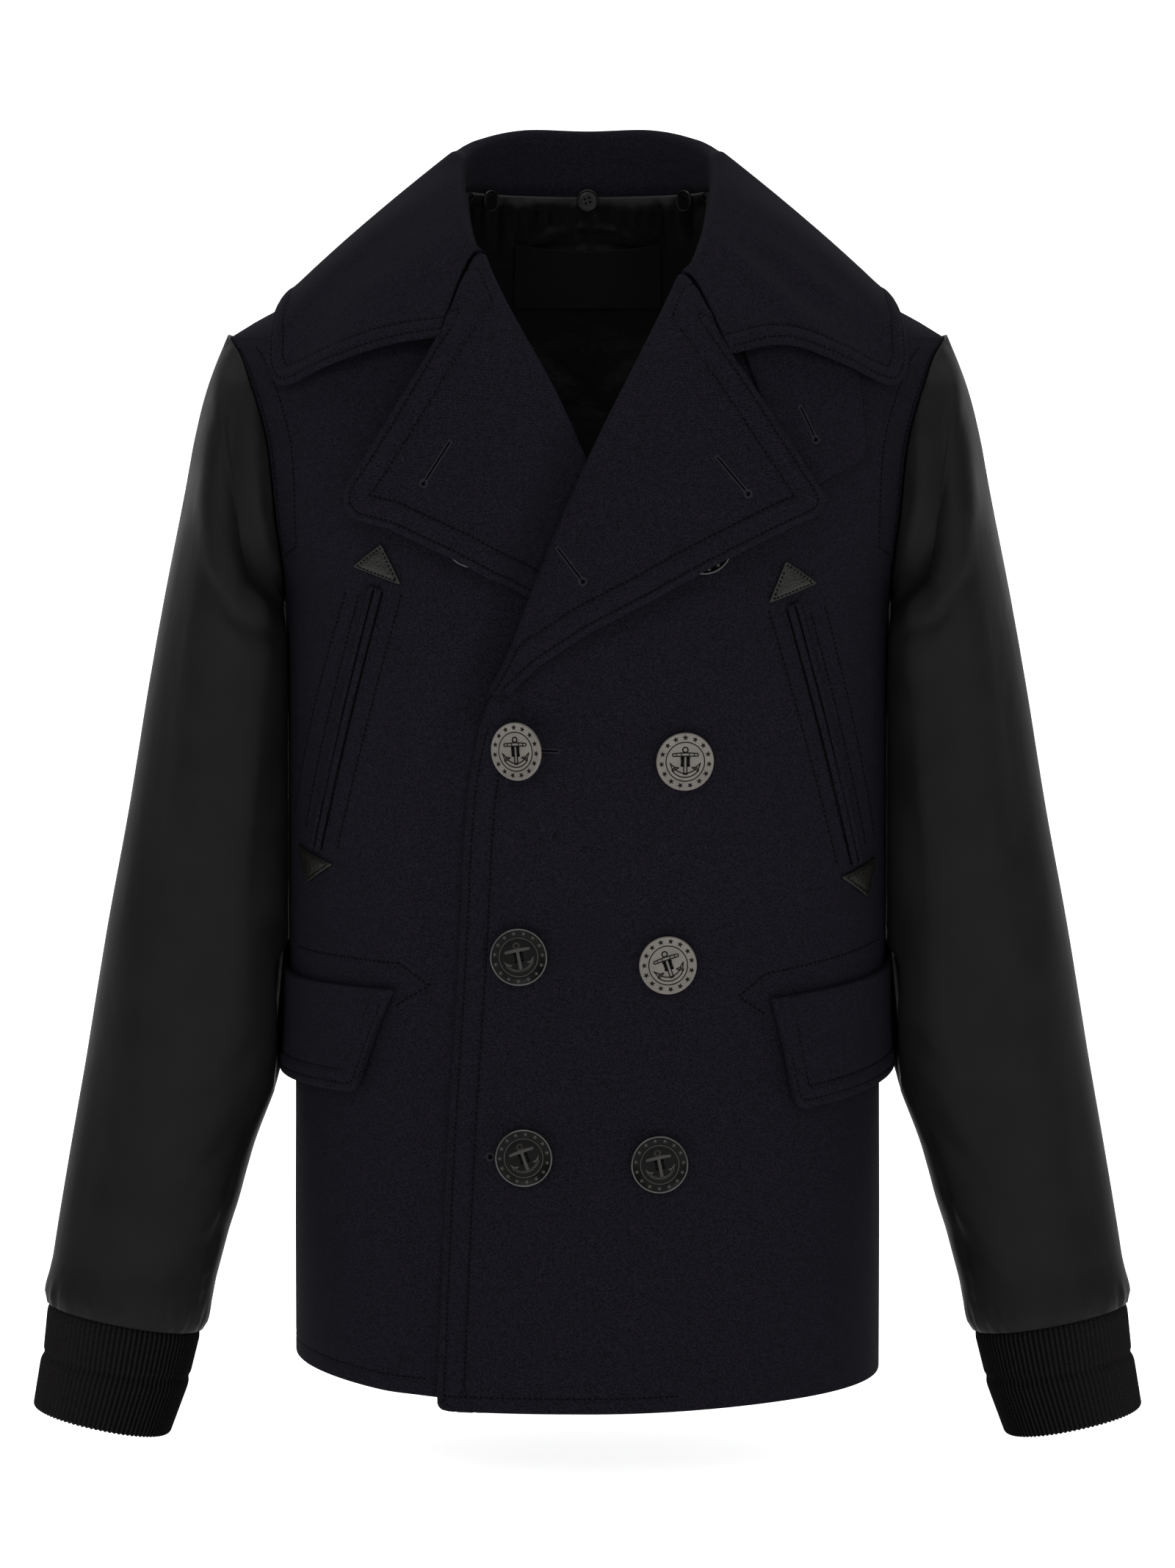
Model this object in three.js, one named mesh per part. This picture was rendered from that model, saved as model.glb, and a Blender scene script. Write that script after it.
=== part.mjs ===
// Double-breasted pea coat, filled out and hollow, in millimetres.
// +Z is up, -Y is the front, +X is the side of the front that laps over. The origin is the middle of the
// neck opening, level with the seam that joins the collar to the back.
import * as THREE from 'three';

// Wall thicknesses
const WOOL = 3;
const COLLAR_WOOL = 3.2;
const SLEEVE_CLOTH = 2;
const CUFF_KNIT = 1.4;
const CUFF_RIB = 1;
const FLAP_WOOL = 4;
const TAB_WOOL = 3;
const WELT_WOOL = 1.8;
const LEATHER = 1.5;
const LINING_CLOTH = 1.2;
const LABEL_CLOTH = 0.8;

// Clearances at seams and between layers
const SEAM = 0.3;
const ROLL_SEAM = 0.5;
const NECK_SEAM = 0.9;
const LAY = 0.8;
const TAB_LAY = 1.2;
const COLLAR_LAY = 2.1;
const COLLAR_RISE = 3.4;
const BUTTON_LAY = 0.7;
const LINING_LAY = 2;
const HEAD_LAY = 1.5;
const HEAD_REACH = 1.5;

// Heights of the main lines
const NECK_Z = 0;
const HEM_Z = -740;
const HEM_START_Z = -560;
const ARMHOLE = { z: -173, halfHeight: 82, y: 2, front: 62, back: 66 };
const SHOULDER_Z = ARMHOLE.z + ARMHOLE.halfHeight;
const ARMPIT_Z = ARMHOLE.z - ARMHOLE.halfHeight;
const FRONTS_Z = -1.5;

// Level sections of the body: half width, depths in front and behind, and the power of the oval
const BODY = [
  { z: 0, half: 75, front: 62, back: 72, power: 2 },
  { z: -15, half: 97, front: 78, back: 86, power: 1.88 },
  { z: -40, half: 137, front: 97, back: 101, power: 1.76 },
  { z: -65, half: 177, front: 110, back: 111, power: 1.7 },
  { z: -82, half: 208.5, front: 118, back: 117, power: 1.68 },
  { z: -91, half: 223, front: 121, back: 119, power: 1.74 },
  { z: -115, half: 221, front: 126, back: 122, power: 2 },
  { z: -150, half: 213, front: 132, back: 126, power: 2.22 },
  { z: -200, half: 202, front: 138, back: 128, power: 2.35 },
  { z: -255, half: 188, front: 139, back: 125, power: 2.35 },
  { z: -350, half: 186.6, front: 135, back: 118, power: 2.35 },
  { z: -450, half: 186.8, front: 131, back: 116, power: 2.35 },
  { z: -550, half: 183, front: 134, back: 121, power: 2.35 },
  { z: -650, half: 183.5, front: 138, back: 126, power: 2.35 },
  { z: -740, half: 183.5, front: 141, back: 129, power: 2.35 },
];

// Height of the hem of each panel across the coat
const HEM = [
  { x: -184, over: -740, under: -723, back: -722 },
  { x: -94, over: -740, under: -731.5, back: -729 },
  { x: 0, over: -740, under: -733, back: -733 },
  { x: 127, over: -736, under: -733, back: -733 },
  { x: 184, over: -734, under: -732, back: -733 },
];

// Neck edge, roll line and free edge of the lapping front, as x at each height
const OVER_EDGE = [
  { z: 0, x: 75 },
  { z: -20, x: 72 },
  { z: -40, x: 66 },
  { z: -58, x: 58 },
  { z: -174, x: 1 },
  { z: -222, x: -20 },
  { z: -284, x: -44 },
  { z: -325, x: -63.5 },
  { z: -374, x: -72 },
  { z: -464, x: -77 },
  { z: -578, x: -84 },
  { z: -740, x: -91 },
];

// The same line on the front below, whose lower half is covered
const UNDER_EDGE = [
  { z: 0, x: -75 },
  { z: -20, x: -72 },
  { z: -45, x: -65 },
  { z: -131, x: -21 },
  { z: -174, x: -1 },
  { z: -250, x: 30 },
  { z: -318, x: 62 },
  { z: -374, x: 71 },
  { z: -464, x: 77 },
  { z: -578, x: 84 },
  { z: -740, x: 91 },
];

// How far the covered front steps back, and the width over which it does so
const STEP = [
  { z: 0, depth: 0, width: 40 },
  { z: -100, depth: 0, width: 40 },
  { z: -165, depth: 10.8, width: 33 },
  { z: -300, depth: 10.8, width: 33 },
  { z: -345, depth: 4.2, width: 34 },
  { z: -740, depth: 4.2, width: 34 },
];

// Lapels: a row for each place down the roll line, with the outer edge that it turns out to
const OVER_LAPEL = [
  { roll: -58, edge: 81, z: -106 },
  { roll: -70, edge: 91, z: -120 },
  { roll: -84, edge: 101, z: -135 },
  { roll: -100, edge: 113, z: -154 },
  { roll: -116, edge: 124, z: -172 },
  { roll: -136, edge: 134, z: -189 },
  { roll: -152, edge: 127, z: -199 },
  { roll: -172, edge: 111, z: -207 },
  { roll: -208, edge: 70, z: -229 },
  { roll: -236, edge: 32, z: -251 },
  { roll: -262, edge: 0, z: -268 },
  { roll: -286, edge: -30, z: -288 },
  { roll: -306, edge: -47, z: -305 },
];
const UNDER_LAPEL = [
  { roll: -45, edge: -84, z: -96 },
  { roll: -59, edge: -94, z: -112 },
  { roll: -74, edge: -103, z: -127 },
  { roll: -92, edge: -115, z: -147 },
  { roll: -110, edge: -126, z: -166 },
  { roll: -132, edge: -138, z: -186 },
  { roll: -148, edge: -131, z: -201 },
  { roll: -168, edge: -112, z: -206 },
  { roll: -200, edge: -72, z: -226 },
  { roll: -230, edge: -35, z: -248 },
  { roll: -258, edge: 0, z: -266 },
  { roll: -284, edge: 30, z: -286 },
  { roll: -302, edge: 45, z: -303 },
];
const LAPEL_LAY = 1.6;
const LAPEL_LIFT = 12;
const LAPEL_RISE = 0.6;
const LAPEL_FREE = 60;
const LAPEL_ROLL = COLLAR_WOOL + LAPEL_LAY / 2;
const LAPEL_MID = LAPEL_LAY + COLLAR_WOOL - LAPEL_ROLL;
const ROLL_ANGLES = [0, 28, 75, 125, 180];
const LAPEL_ACROSS = [0.16, 0.32, 0.48, 0.64, 0.82, 1];
const COVER = { inner: 12, outer: 33 };

// Bands of the panels' columns, and where those of the covered front lie
const OVER_COLUMNS = 13;
const BACK_COLUMNS = 17;
const UNDER_COLUMNS = { open: 7, covering: 3, covered: 3 };
const UNDER_PLACES = { latestStart: 0.72, beforeEdge: 5, middle: 0.5 };

// Collar sections behind the shoulder seam, from the middle of the back, for the +X side. The seam
// foot, the top of the roll and the outer edge are points; roll is the radius and bulge the fullness.
const COLLAR_BACK = [
  { foot: [0, 72.5, 0.6], top: [0, 81, 44], edge: [0, 114, -51], roll: 7, bulge: 5 },
  { foot: [38, 62.8, 0.6], top: [39, 71, 44], edge: [60, 107, -53], roll: 7, bulge: 6 },
  { foot: [62, 41, 0.6], top: [64, 46, 36], edge: [122, 82, -58], roll: 6.5, bulge: 4 },
  { foot: [74, 16, 0.8], top: [74.5, 18, 27], edge: [170, 42, -62], roll: 6, bulge: 2.5 },
];

// Collar sections in front of it: share of the way down the neck edge to the lapel, and the roll's
// top measured from the foot
const COLLAR_FRONT = [
  { down: 0, rise: [1, 1, 22], edge: [187.5, 0, -65.5], roll: 6, bulge: 2.5 },
  { down: 0.06, rise: [2.5, 1, 17], edge: [191.5, -34, -73], roll: 5.6, bulge: 5 },
  { down: 0.22, rise: [4, 0, 13.5], edge: [194.5, -57, -90], roll: 5.2, bulge: 10 },
  { down: 0.42, rise: [4.5, -1, 10.5], edge: [194, -69, -109], roll: 4.8, bulge: 13 },
  { down: 0.58, rise: [4.2, -2, 8.5], edge: [187, -78, -119], roll: 4.6, bulge: 17 },
  { down: 0.74, rise: [3.6, -3, 7], edge: [157, -100, -107.5], roll: 4.4, bulge: 15 },
  { down: 0.88, rise: [2.6, -3.6, 5.5], edge: [119, -114, -95], roll: 4.2, bulge: 8 },
];
const COLLAR_TURNS = 3;
const COLLAR_FALL = [0.15, 0.3, 0.44, 0.58, 0.72, 0.86, 1];
const COLLAR_STEPS = 34;

// Sleeves: outer and under edge of each ring, half depth and middle of the depth
const SLEEVE = [
  { outX: 230.5, outZ: -106, inX: 190.5, inZ: -264, depth: 71, y: 0 },
  { outX: 237, outZ: -124, inX: 189.6, inZ: -275, depth: 74, y: 1 },
  { outX: 244.5, outZ: -154, inX: 189.2, inZ: -287, depth: 75.5, y: 2 },
  { outX: 252, outZ: -192, inX: 189, inZ: -304, depth: 76, y: 3 },
  { outX: 262.5, outZ: -246, inX: 188.7, inZ: -330, depth: 76, y: 4 },
  { outX: 274, outZ: -310, inX: 188.5, inZ: -368, depth: 76, y: 5 },
  { outX: 286, outZ: -382, inX: 188.6, inZ: -421, depth: 74, y: 4 },
  { outX: 300, outZ: -456, inX: 191.4, inZ: -478, depth: 70, y: 0 },
  { outX: 313.5, outZ: -536, inX: 200, inZ: -556, depth: 61, y: -7 },
  { outX: 325, outZ: -603, inX: 216, inZ: -619, depth: 53, y: -14 },
  { outX: 333, outZ: -653, inX: 230, inZ: -668, depth: 48, y: -20 },
  { outX: 338, outZ: -690, inX: 241, inZ: -709, depth: 44, y: -25 },
];
const SLEEVE_POWER = 2.15;
const SLEEVE_SIDES = 20;
const CUFF = [
  { outX: 336, outZ: -690.5, inX: 243, inZ: -709.5, depth: 41.5, y: -25 },
  { outX: 339, outZ: -722, inX: 250, inZ: -738, depth: 39.5, y: -28 },
  { outX: 344, outZ: -753.5, inX: 262.5, inZ: -771.5, depth: 39.5, y: -31 },
];
const CUFF_RIBS = 46;

// Flaps: front edge, side end, and the lift of the free edge, in distance round the cloth and height
const FLAPS = [
  { side: -1, top: [120, -486], bottom: [139, -548], topEnd: [253, -483], bottomEnd: [252, -545] },
  { side: 1, top: [114, -491], bottom: [124, -558], topEnd: [253, -477], bottomEnd: [252, -541] },
];
const FLAP_CORNER = 12;
const FLAP_LIFT = { front: 5, side: 1.5, flare: 4 };
const FLAP_ALONG = [0, 0.02, 0.05, 0.1, 0.25, 0.4, 0.55, 0.7, 0.85, 1];
const FLAP_DOWN = 4;

// Slanted chest pockets: ends of the slit, and the corners of the leather patches over them
const CHEST_POCKETS = [
  {
    side: -1, from: [131.5, -243], to: [182.5, -403],
    upper: [[126, -216], [147, -230], [113, -241]],
    lower: [[206, -402], [165, -412], [191, -425]],
  },
  {
    side: 1, from: [127.5, -253], to: [180, -412],
    upper: [[121, -226], [144, -240], [110, -252]],
    lower: [[204, -410], [164, -420], [191, -434]],
  },
];
const WELT_WIDTH = 4.4;

// Throat tab, a strap end that shows between collar and lapel
const TAB = { topIn: [92, -92], topOut: [166, -101], endOut: [174, -164], endIn: [126, -186] };

// Buttons on the fronts, in distance round the cloth and height, and how far each turns to the -X side
const FRONT_BUTTONS = [
  { name: 'button_edge_top', across: -38, z: -339, turn: 26 },
  { name: 'button_edge_middle', across: -41, z: -464, turn: 0 },
  { name: 'button_edge_low', across: -38, z: -585, turn: 0 },
  { name: 'button_inner_top', across: 58, z: -346, turn: 0 },
  { name: 'button_inner_middle', across: 48, z: -469, turn: 0 },
  { name: 'button_inner_low', across: 43, z: -589, turn: 0 },
  { name: 'button_lapel_left', across: 69, z: -217, turn: 0 },
  { name: 'button_lapel_right', across: -68, z: -213, turn: 0 },
];
const BUTTON = { radius: 17.5, thick: 3.2, rim: 3.4, dish: 0.8, shank: 5, stand: 0.8 };
const BUTTON_SEGMENTS = 14;
const NECK_BUTTONS = [
  { name: 'button_neck_right', angle: -152, z: -4.5, forward: 0.6, out: 1.6 },
  { name: 'button_neck_middle', angle: -90, z: -2.2, forward: 1, out: 0 },
  { name: 'button_neck_left', angle: -28, z: -4.5, forward: 0.6, out: 1.6 },
];
const NECK_BUTTON = { radius: 7, thick: 2.2, rim: 1.4, dish: 0.6 };

// Lining and label inside the back
const LINING = { top: -3, bottom: -300, side: 12, rows: 12, columns: 16, puff: 1.6, diamond: 62 };
const LABEL = { half: 49, top: -25, bottom: -66, rows: 3, columns: 6 };

// Steps in which distances round the body are added up, and those over which its slopes are taken
const GIRTH_STEPS = 240;
const NORMAL_STEP = { angle: 0.004, height: 0.5 };

// Small helpers on numbers
const radians = THREE.MathUtils.degToRad;
const between = (a, b, t) => a + (b - a) * t;
const power = (value, exponent) => Math.sign(value) * Math.abs(value) ** exponent;
const steps = (count) => Array.from({ length: count + 1 }, (_, i) => i / count);

// Smooth curve through the rows of a table, which never swings past them
function column(table, from, to) {
  const rows = [...table].sort((a, b) => a[from] - b[from]);
  const x = rows.map((row) => row[from]);
  const y = rows.map((row) => row[to]);
  const width = x.slice(1).map((value, i) => value - x[i]);
  const rise = y.slice(1).map((value, i) => (value - y[i]) / width[i]);
  const slope = y.map((_, i) => {
    if (i === 0) return rise[0];
    if (i === y.length - 1) return rise[i - 1];
    if (rise[i - 1] * rise[i] <= 0) return 0;
    const before = 2 * width[i] + width[i - 1];
    const after = width[i] + 2 * width[i - 1];
    return (before + after) / (before / rise[i - 1] + after / rise[i]);
  });
  return (at) => {
    const value = THREE.MathUtils.clamp(at, x[0], x[x.length - 1]);
    let i = 0;
    while (i < x.length - 2 && value > x[i + 1]) i += 1;
    const t = (value - x[i]) / width[i];
    return (1 + 2 * t) * (1 - t) ** 2 * y[i] + t * (1 - t) ** 2 * width[i] * slope[i]
      + t * t * (3 - 2 * t) * y[i + 1] + t * t * (t - 1) * width[i] * slope[i + 1];
  };
}

// The body surface: angle 0 is the +X side seam, 90 degrees the front, 180 the other side seam
const half = column(BODY, 'z', 'half');
const frontDepth = column(BODY, 'z', 'front');
const backDepth = column(BODY, 'z', 'back');
const ovalPower = column(BODY, 'z', 'power');

function skin(angle, z) {
  const exponent = 2 / ovalPower(z);
  const depth = Math.sin(angle) >= 0 ? -frontDepth(z) : backDepth(z);
  return new THREE.Vector3(
    half(z) * power(Math.cos(angle), exponent),
    depth * Math.abs(Math.sin(angle)) ** exponent,
    z,
  );
}

// A point of the body surface moved out along its normal
function body(angle, z, out = 0) {
  const low = Math.max(z - NORMAL_STEP.height, HEM_Z);
  const high = Math.min(z + NORMAL_STEP.height, NECK_Z);
  const round = skin(angle - NORMAL_STEP.angle, z).sub(skin(angle + NORMAL_STEP.angle, z));
  const up = skin(angle, high).sub(skin(angle, low));
  const normal = round.cross(up).normalize();
  return skin(angle, z).addScaledVector(normal, out);
}

// Angle of the front at an x, and of the armhole at a height
function angleAtX(x, z) {
  const share = THREE.MathUtils.clamp(x / half(z), -1, 1);
  return Math.acos(power(share, ovalPower(z) / 2));
}

function angleAtDepth(y, z) {
  const depth = y < 0 ? frontDepth(z) : backDepth(z);
  const angle = Math.asin(Math.min(1, (Math.abs(y) / depth) ** (ovalPower(z) / 2)));
  return y < 0 ? angle : -angle;
}

// Angle at a distance round the cloth from the middle of the front
function angleAtGirth(across, z) {
  const direction = across < 0 ? 1 : -1;
  let angle = Math.PI / 2;
  let length = 0;
  let point = skin(angle, z);
  for (let i = 0; i < GIRTH_STEPS; i += 1) {
    const next = angle + direction * Math.PI / 2 / GIRTH_STEPS;
    const nextPoint = skin(next, z);
    const step = nextPoint.distanceTo(point);
    if (length + step >= Math.abs(across)) {
      return between(angle, next, (Math.abs(across) - length) / step);
    }
    length += step;
    angle = next;
    point = nextPoint;
  }
  return angle;
}

const cloth = (across, z, out) => body(angleAtGirth(across, z), z, out);
const atX = (x, z, out) => body(angleAtX(x, z), z, out);

// Grids of points: normals, offsets, and walls between two of them
function gridNormal(grid, i, j, wrap) {
  const last = grid.length - 1;
  const count = grid[0].length;
  const before = wrap ? (j + count - 1) % count : Math.max(j - 1, 0);
  const after = wrap ? (j + 1) % count : Math.min(j + 1, count - 1);
  const along = grid[Math.min(i + 1, last)][j].clone().sub(grid[Math.max(i - 1, 0)][j]);
  const across = grid[i][after].clone().sub(grid[i][before]);
  return along.cross(across).normalize();
}

function offset(grid, distance, wrap = false) {
  return grid.map((row, i) => row.map((point, j) => (
    point.clone().addScaledVector(gridNormal(grid, i, j, wrap), distance)
  )));
}

// One closed wall between two grids of the same size, as a tube where it wraps round
function wall(first, second, wrap = false) {
  const rows = first.length;
  const count = first[0].length;
  const positions = [...first.flat(), ...second.flat()].flatMap((point) => point.toArray());
  const index = [];
  const shift = rows * count;
  const quad = (a, b, c, d) => index.push(a, b, c, a, c, d);
  const bands = wrap ? count : count - 1;
  for (let i = 0; i < rows - 1; i += 1) {
    for (let j = 0; j < bands; j += 1) {
      const next = (j + 1) % count;
      const corners = [i * count + j, i * count + next, (i + 1) * count + next, (i + 1) * count + j];
      const long = first[i][j].distanceTo(first[i + 1][next]);
      const short = first[i][next].distanceTo(first[i + 1][j]);
      const turned = long <= short ? corners : [...corners.slice(1), corners[0]];
      quad(...turned);
      quad(...turned.map((corner) => corner + shift).reverse());
    }
  }
  const border = (a, b) => quad(a, a + shift, b + shift, b);
  for (let j = 0; j < bands; j += 1) {
    const next = (j + 1) % count;
    border(j, next);
    border((rows - 1) * count + next, (rows - 1) * count + j);
  }
  if (!wrap) {
    for (let i = 0; i < rows - 1; i += 1) {
      border((i + 1) * count, i * count);
      border(i * count + count - 1, (i + 1) * count + count - 1);
    }
  }
  return solid(positions, index);
}

// Geometry whose faces point out
function solid(positions, index) {
  const geometry = new THREE.BufferGeometry();
  geometry.setAttribute('position', new THREE.Float32BufferAttribute(positions, 3));
  const corner = (k) => new THREE.Vector3().fromArray(positions, index[k] * 3);
  let volume = 0;
  for (let k = 0; k < index.length; k += 3) {
    volume += corner(k).dot(corner(k + 1).cross(corner(k + 2)));
  }
  geometry.setIndex(volume < 0 ? [...index].reverse() : index);
  geometry.computeVertexNormals();
  return geometry;
}

// Materials
const finish = (color, roughness, metalness = 0) => (
  new THREE.MeshStandardMaterial({ color, roughness, metalness })
);
const wool = finish(0x17161d, 0.95);
const satin = finish(0x232424, 0.45);
const knit = finish(0x141414, 0.9);
const leather = finish(0x151514, 0.35);
const horn = finish(0x3a3937, 0.35, 0.6);
const thinHorn = finish(0x1a1918, 0.4);
const quilt = finish(0x121212, 0.5);
const tape = finish(0x0b0b0c, 0.6);

const coat = new THREE.Group();
coat.name = 'pea_coat';
function add(name, geometry, material) {
  const mesh = new THREE.Mesh(geometry, material);
  mesh.name = name;
  coat.add(mesh);
}

// Heights of the rows of the three body panels
const UPPER_ROWS = [-9, -20, -33, -47, -58, -70, -81];
const ARMHOLE_TURNS = [0, 16, 34, 51, 65, 78, 90, 102, 115, 129, 146, 164, 180];
const LOWER_ROWS = [-272, -290, -310, -335, -365, -420, -490, -560, -650, HEM_Z];
const PANEL_ROWS = [
  ...UPPER_ROWS,
  ...ARMHOLE_TURNS.map((turn) => ARMHOLE.z + ARMHOLE.halfHeight * Math.cos(radians(turn))),
  ...LOWER_ROWS,
];

// Where a panel ends at its side: shoulder seam, armhole or side seam
function sideDepth(z, isFront) {
  const sign = isFront ? -1 : 1;
  const seam = sign * SEAM / 2;
  if (z >= SHOULDER_Z || z <= ARMPIT_Z) return seam;
  const share = Math.sqrt(Math.max(0, 1 - ((z - ARMHOLE.z) / ARMHOLE.halfHeight) ** 2));
  const reach = ARMHOLE.y + sign * (isFront ? ARMHOLE.front : ARMHOLE.back) * share;
  return isFront ? Math.min(reach, seam) : Math.max(reach, seam);
}

const overEdge = column(OVER_EDGE, 'z', 'x');
const underEdge = column(UNDER_EDGE, 'z', 'x');
const stepDepth = column(STEP, 'z', 'depth');
const stepWidth = column(STEP, 'z', 'width');
const hems = {
  over: column(HEM, 'x', 'over'),
  under: column(HEM, 'x', 'under'),
  back: column(HEM, 'x', 'back'),
};

// How far the lower layers lie below the body surface, at an x of the front
function stepBack(x, z) {
  const width = stepWidth(z);
  const t = THREE.MathUtils.clamp((x - overEdge(z) + width) / (width - COVER.inner), 0, 1);
  return stepDepth(z) * t * t * (3 - 2 * t);
}

// A point of a panel, whose lower part is drawn down or up to the height of its hem
function hang(angle, z, out, piece) {
  const { x } = skin(angle, z);
  const share = Math.max(0, (HEM_START_Z - z) / (HEM_START_Z - HEM_Z));
  return body(angle, z + share * (hems[piece](x) - HEM_Z), out);
}

// The gap along a front's edge: wider at the neck, under the collar, than beside the lapel
const seamAt = (z, lapel) => (z > lapel[1].roll ? NECK_SEAM : SEAM);

// The front that laps over, from the side to the roll line and free edge
function overFront() {
  const columns = steps(OVER_COLUMNS);
  const grid = (out) => [FRONTS_Z, ...PANEL_ROWS].map((z) => {
    const side = angleAtDepth(sideDepth(z, true), z);
    const edge = angleAtX(overEdge(z) + seamAt(z, OVER_LAPEL), z);
    return columns.map((t) => hang(between(side, edge, t), z, out, 'over'));
  });
  return wall(grid(0), grid(-WOOL));
}

// The front below, whose columns follow the edge that covers it
function underFront() {
  const open = steps(UNDER_COLUMNS.open);
  const covering = steps(UNDER_COLUMNS.covering).slice(1);
  const covered = steps(UNDER_COLUMNS.covered).slice(1);
  const { latestStart, beforeEdge, middle } = UNDER_PLACES;
  const grid = (out) => [FRONTS_Z, ...PANEL_ROWS].map((z) => {
    const side = Math.PI - angleAtDepth(sideDepth(z, true), z);
    const end = underEdge(z) - seamAt(z, UNDER_LAPEL);
    const start = Math.min(overEdge(z) - stepWidth(z), between(-half(z), end, latestStart));
    const full = Math.min(overEdge(z) - beforeEdge, between(start, end, middle));
    const startAngle = angleAtX(start, z);
    const angles = [
      ...open.map((t) => between(side, startAngle, t)),
      ...covering.map((t) => angleAtX(between(start, full, t), z)),
      ...covered.map((t) => angleAtX(between(full, end, t), z)),
    ];
    return angles.map((angle) => hang(angle, z, out - stepBack(skin(angle, z).x, z), 'under'));
  });
  return wall(grid(0), grid(-WOOL));
}

// The back, in one piece from side to side
function backPanel() {
  const columns = steps(BACK_COLUMNS);
  const grid = (out) => [NECK_Z, ...PANEL_ROWS].map((z) => {
    const side = angleAtDepth(sideDepth(z, false), z);
    return columns.map((t) => hang(between(side, -Math.PI - side, t), z, out, 'back'));
  });
  return wall(grid(0), grid(-WOOL));
}

add('front_over', overFront(), wool);
add('front_under', underFront(), wool);
add('back', backPanel(), wool);

// The rows of a table with one more between each two
function halved(table) {
  return table.flatMap((row, i) => {
    if (i === table.length - 1) return [row];
    const next = table[i + 1];
    const middle = Object.fromEntries(
      Object.entries(row).map(([name, value]) => [name, (value + next[name]) / 2]),
    );
    return [row, middle];
  });
}

// Lapels: the wall leaves the front at the roll line, turns over and lies on the chest. The far edge
// stands off the chest, but not where the lapel is narrow or covered.
function lapelGrid(table, rollLine, sign, depth, thickness) {
  return halved(table).map(({ roll, edge, z }) => {
    const slope = (rollLine(roll + 1) - rollLine(roll - 1)) / 2;
    const outward = new THREE.Vector2(sign, -sign * slope).normalize();
    const at = (x, height, out) => atX(x, height, out - depth(x, height));
    const rollX = rollLine(roll);
    const radius = LAPEL_ROLL - thickness;
    const turned = ROLL_ANGLES.map((degrees) => {
      const angle = radians(degrees);
      const reach = -ROLL_SEAM - radius * Math.sin(angle);
      const out = LAPEL_MID - radius * Math.cos(angle);
      return at(rollX + outward.x * reach, roll + outward.y * reach, out);
    });
    const breadth = Math.min(1, Math.hypot(edge - rollX, z - roll) / LAPEL_FREE);
    const flat = LAPEL_ACROSS.map((t) => {
      const x = between(rollX, edge, t);
      const height = between(roll, z, t);
      const lift = LAPEL_LIFT * breadth * t ** LAPEL_RISE * uncovered(x, height, sign);
      return at(x, height, LAPEL_MID + radius + lift);
    });
    return [...turned, ...flat];
  });
}

// One where a lapel lies open, falling to nothing where the other front covers it
function uncovered(x, z, sign) {
  if (sign > 0) return 1;
  return THREE.MathUtils.smoothstep(overEdge(z) - x, COVER.inner, COVER.outer);
}

const noStep = () => 0;
const overLapel = (thickness) => lapelGrid(OVER_LAPEL, overEdge, 1, noStep, thickness);
const underLapel = (thickness) => lapelGrid(UNDER_LAPEL, underEdge, -1, stepBack, thickness);
add('lapel_over', wall(overLapel(0), overLapel(COLLAR_WOOL)), wool);
add('lapel_under', wall(underLapel(0), underLapel(COLLAR_WOOL)), wool);

// Collar section: up the stand, over the roll and down the fall
function collarSection({ foot, top, edge, roll, bulge }) {
  const seam = new THREE.Vector3(...foot);
  const crest = new THREE.Vector3(...top);
  const end = new THREE.Vector3(...edge);
  const up = crest.clone().sub(seam).normalize();
  const fall = end.clone().sub(crest);
  const out = fall.clone().addScaledVector(up, -fall.dot(up)).normalize();
  const turn = up.angleTo(fall) - radians(bulge);
  const start = crest.clone().addScaledVector(up, -roll);
  const centre = start.clone().addScaledVector(out, roll);
  const onRoll = (angle) => centre.clone()
    .addScaledVector(out, -roll * Math.cos(angle)).addScaledVector(up, roll * Math.sin(angle));
  const leave = onRoll(turn);
  const heading = out.clone().multiplyScalar(Math.sin(turn)).addScaledVector(up, Math.cos(turn));
  const control = leave.clone().addScaledVector(heading, leave.distanceTo(end) / 2);
  const fallCurve = new THREE.QuadraticBezierCurve3(leave, control, end);
  return [
    seam,
    seam.clone().lerp(start, 0.5),
    start,
    ...steps(COLLAR_TURNS).slice(1).map((t) => onRoll(turn * t)),
    ...COLLAR_FALL.map((t) => fallCurve.getPoint(t)),
  ];
}

const mirrored = (point) => new THREE.Vector3(-point.x, point.y, point.z);

// A section in front of the shoulder seam, whose foot stands on the neck edge of that side
function frontSection({ down, rise, edge, roll, bulge }, line, lapel, side) {
  const z = lapel[0].roll * down;
  const foot = atX(line(z) - side * SEAM * 3, z, COLLAR_LAY);
  const base = side > 0 ? foot : mirrored(foot);
  const top = base.clone().add(new THREE.Vector3(...rise));
  return collarSection({ foot: base.toArray(), top: top.toArray(), edge, roll, bulge });
}

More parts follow.
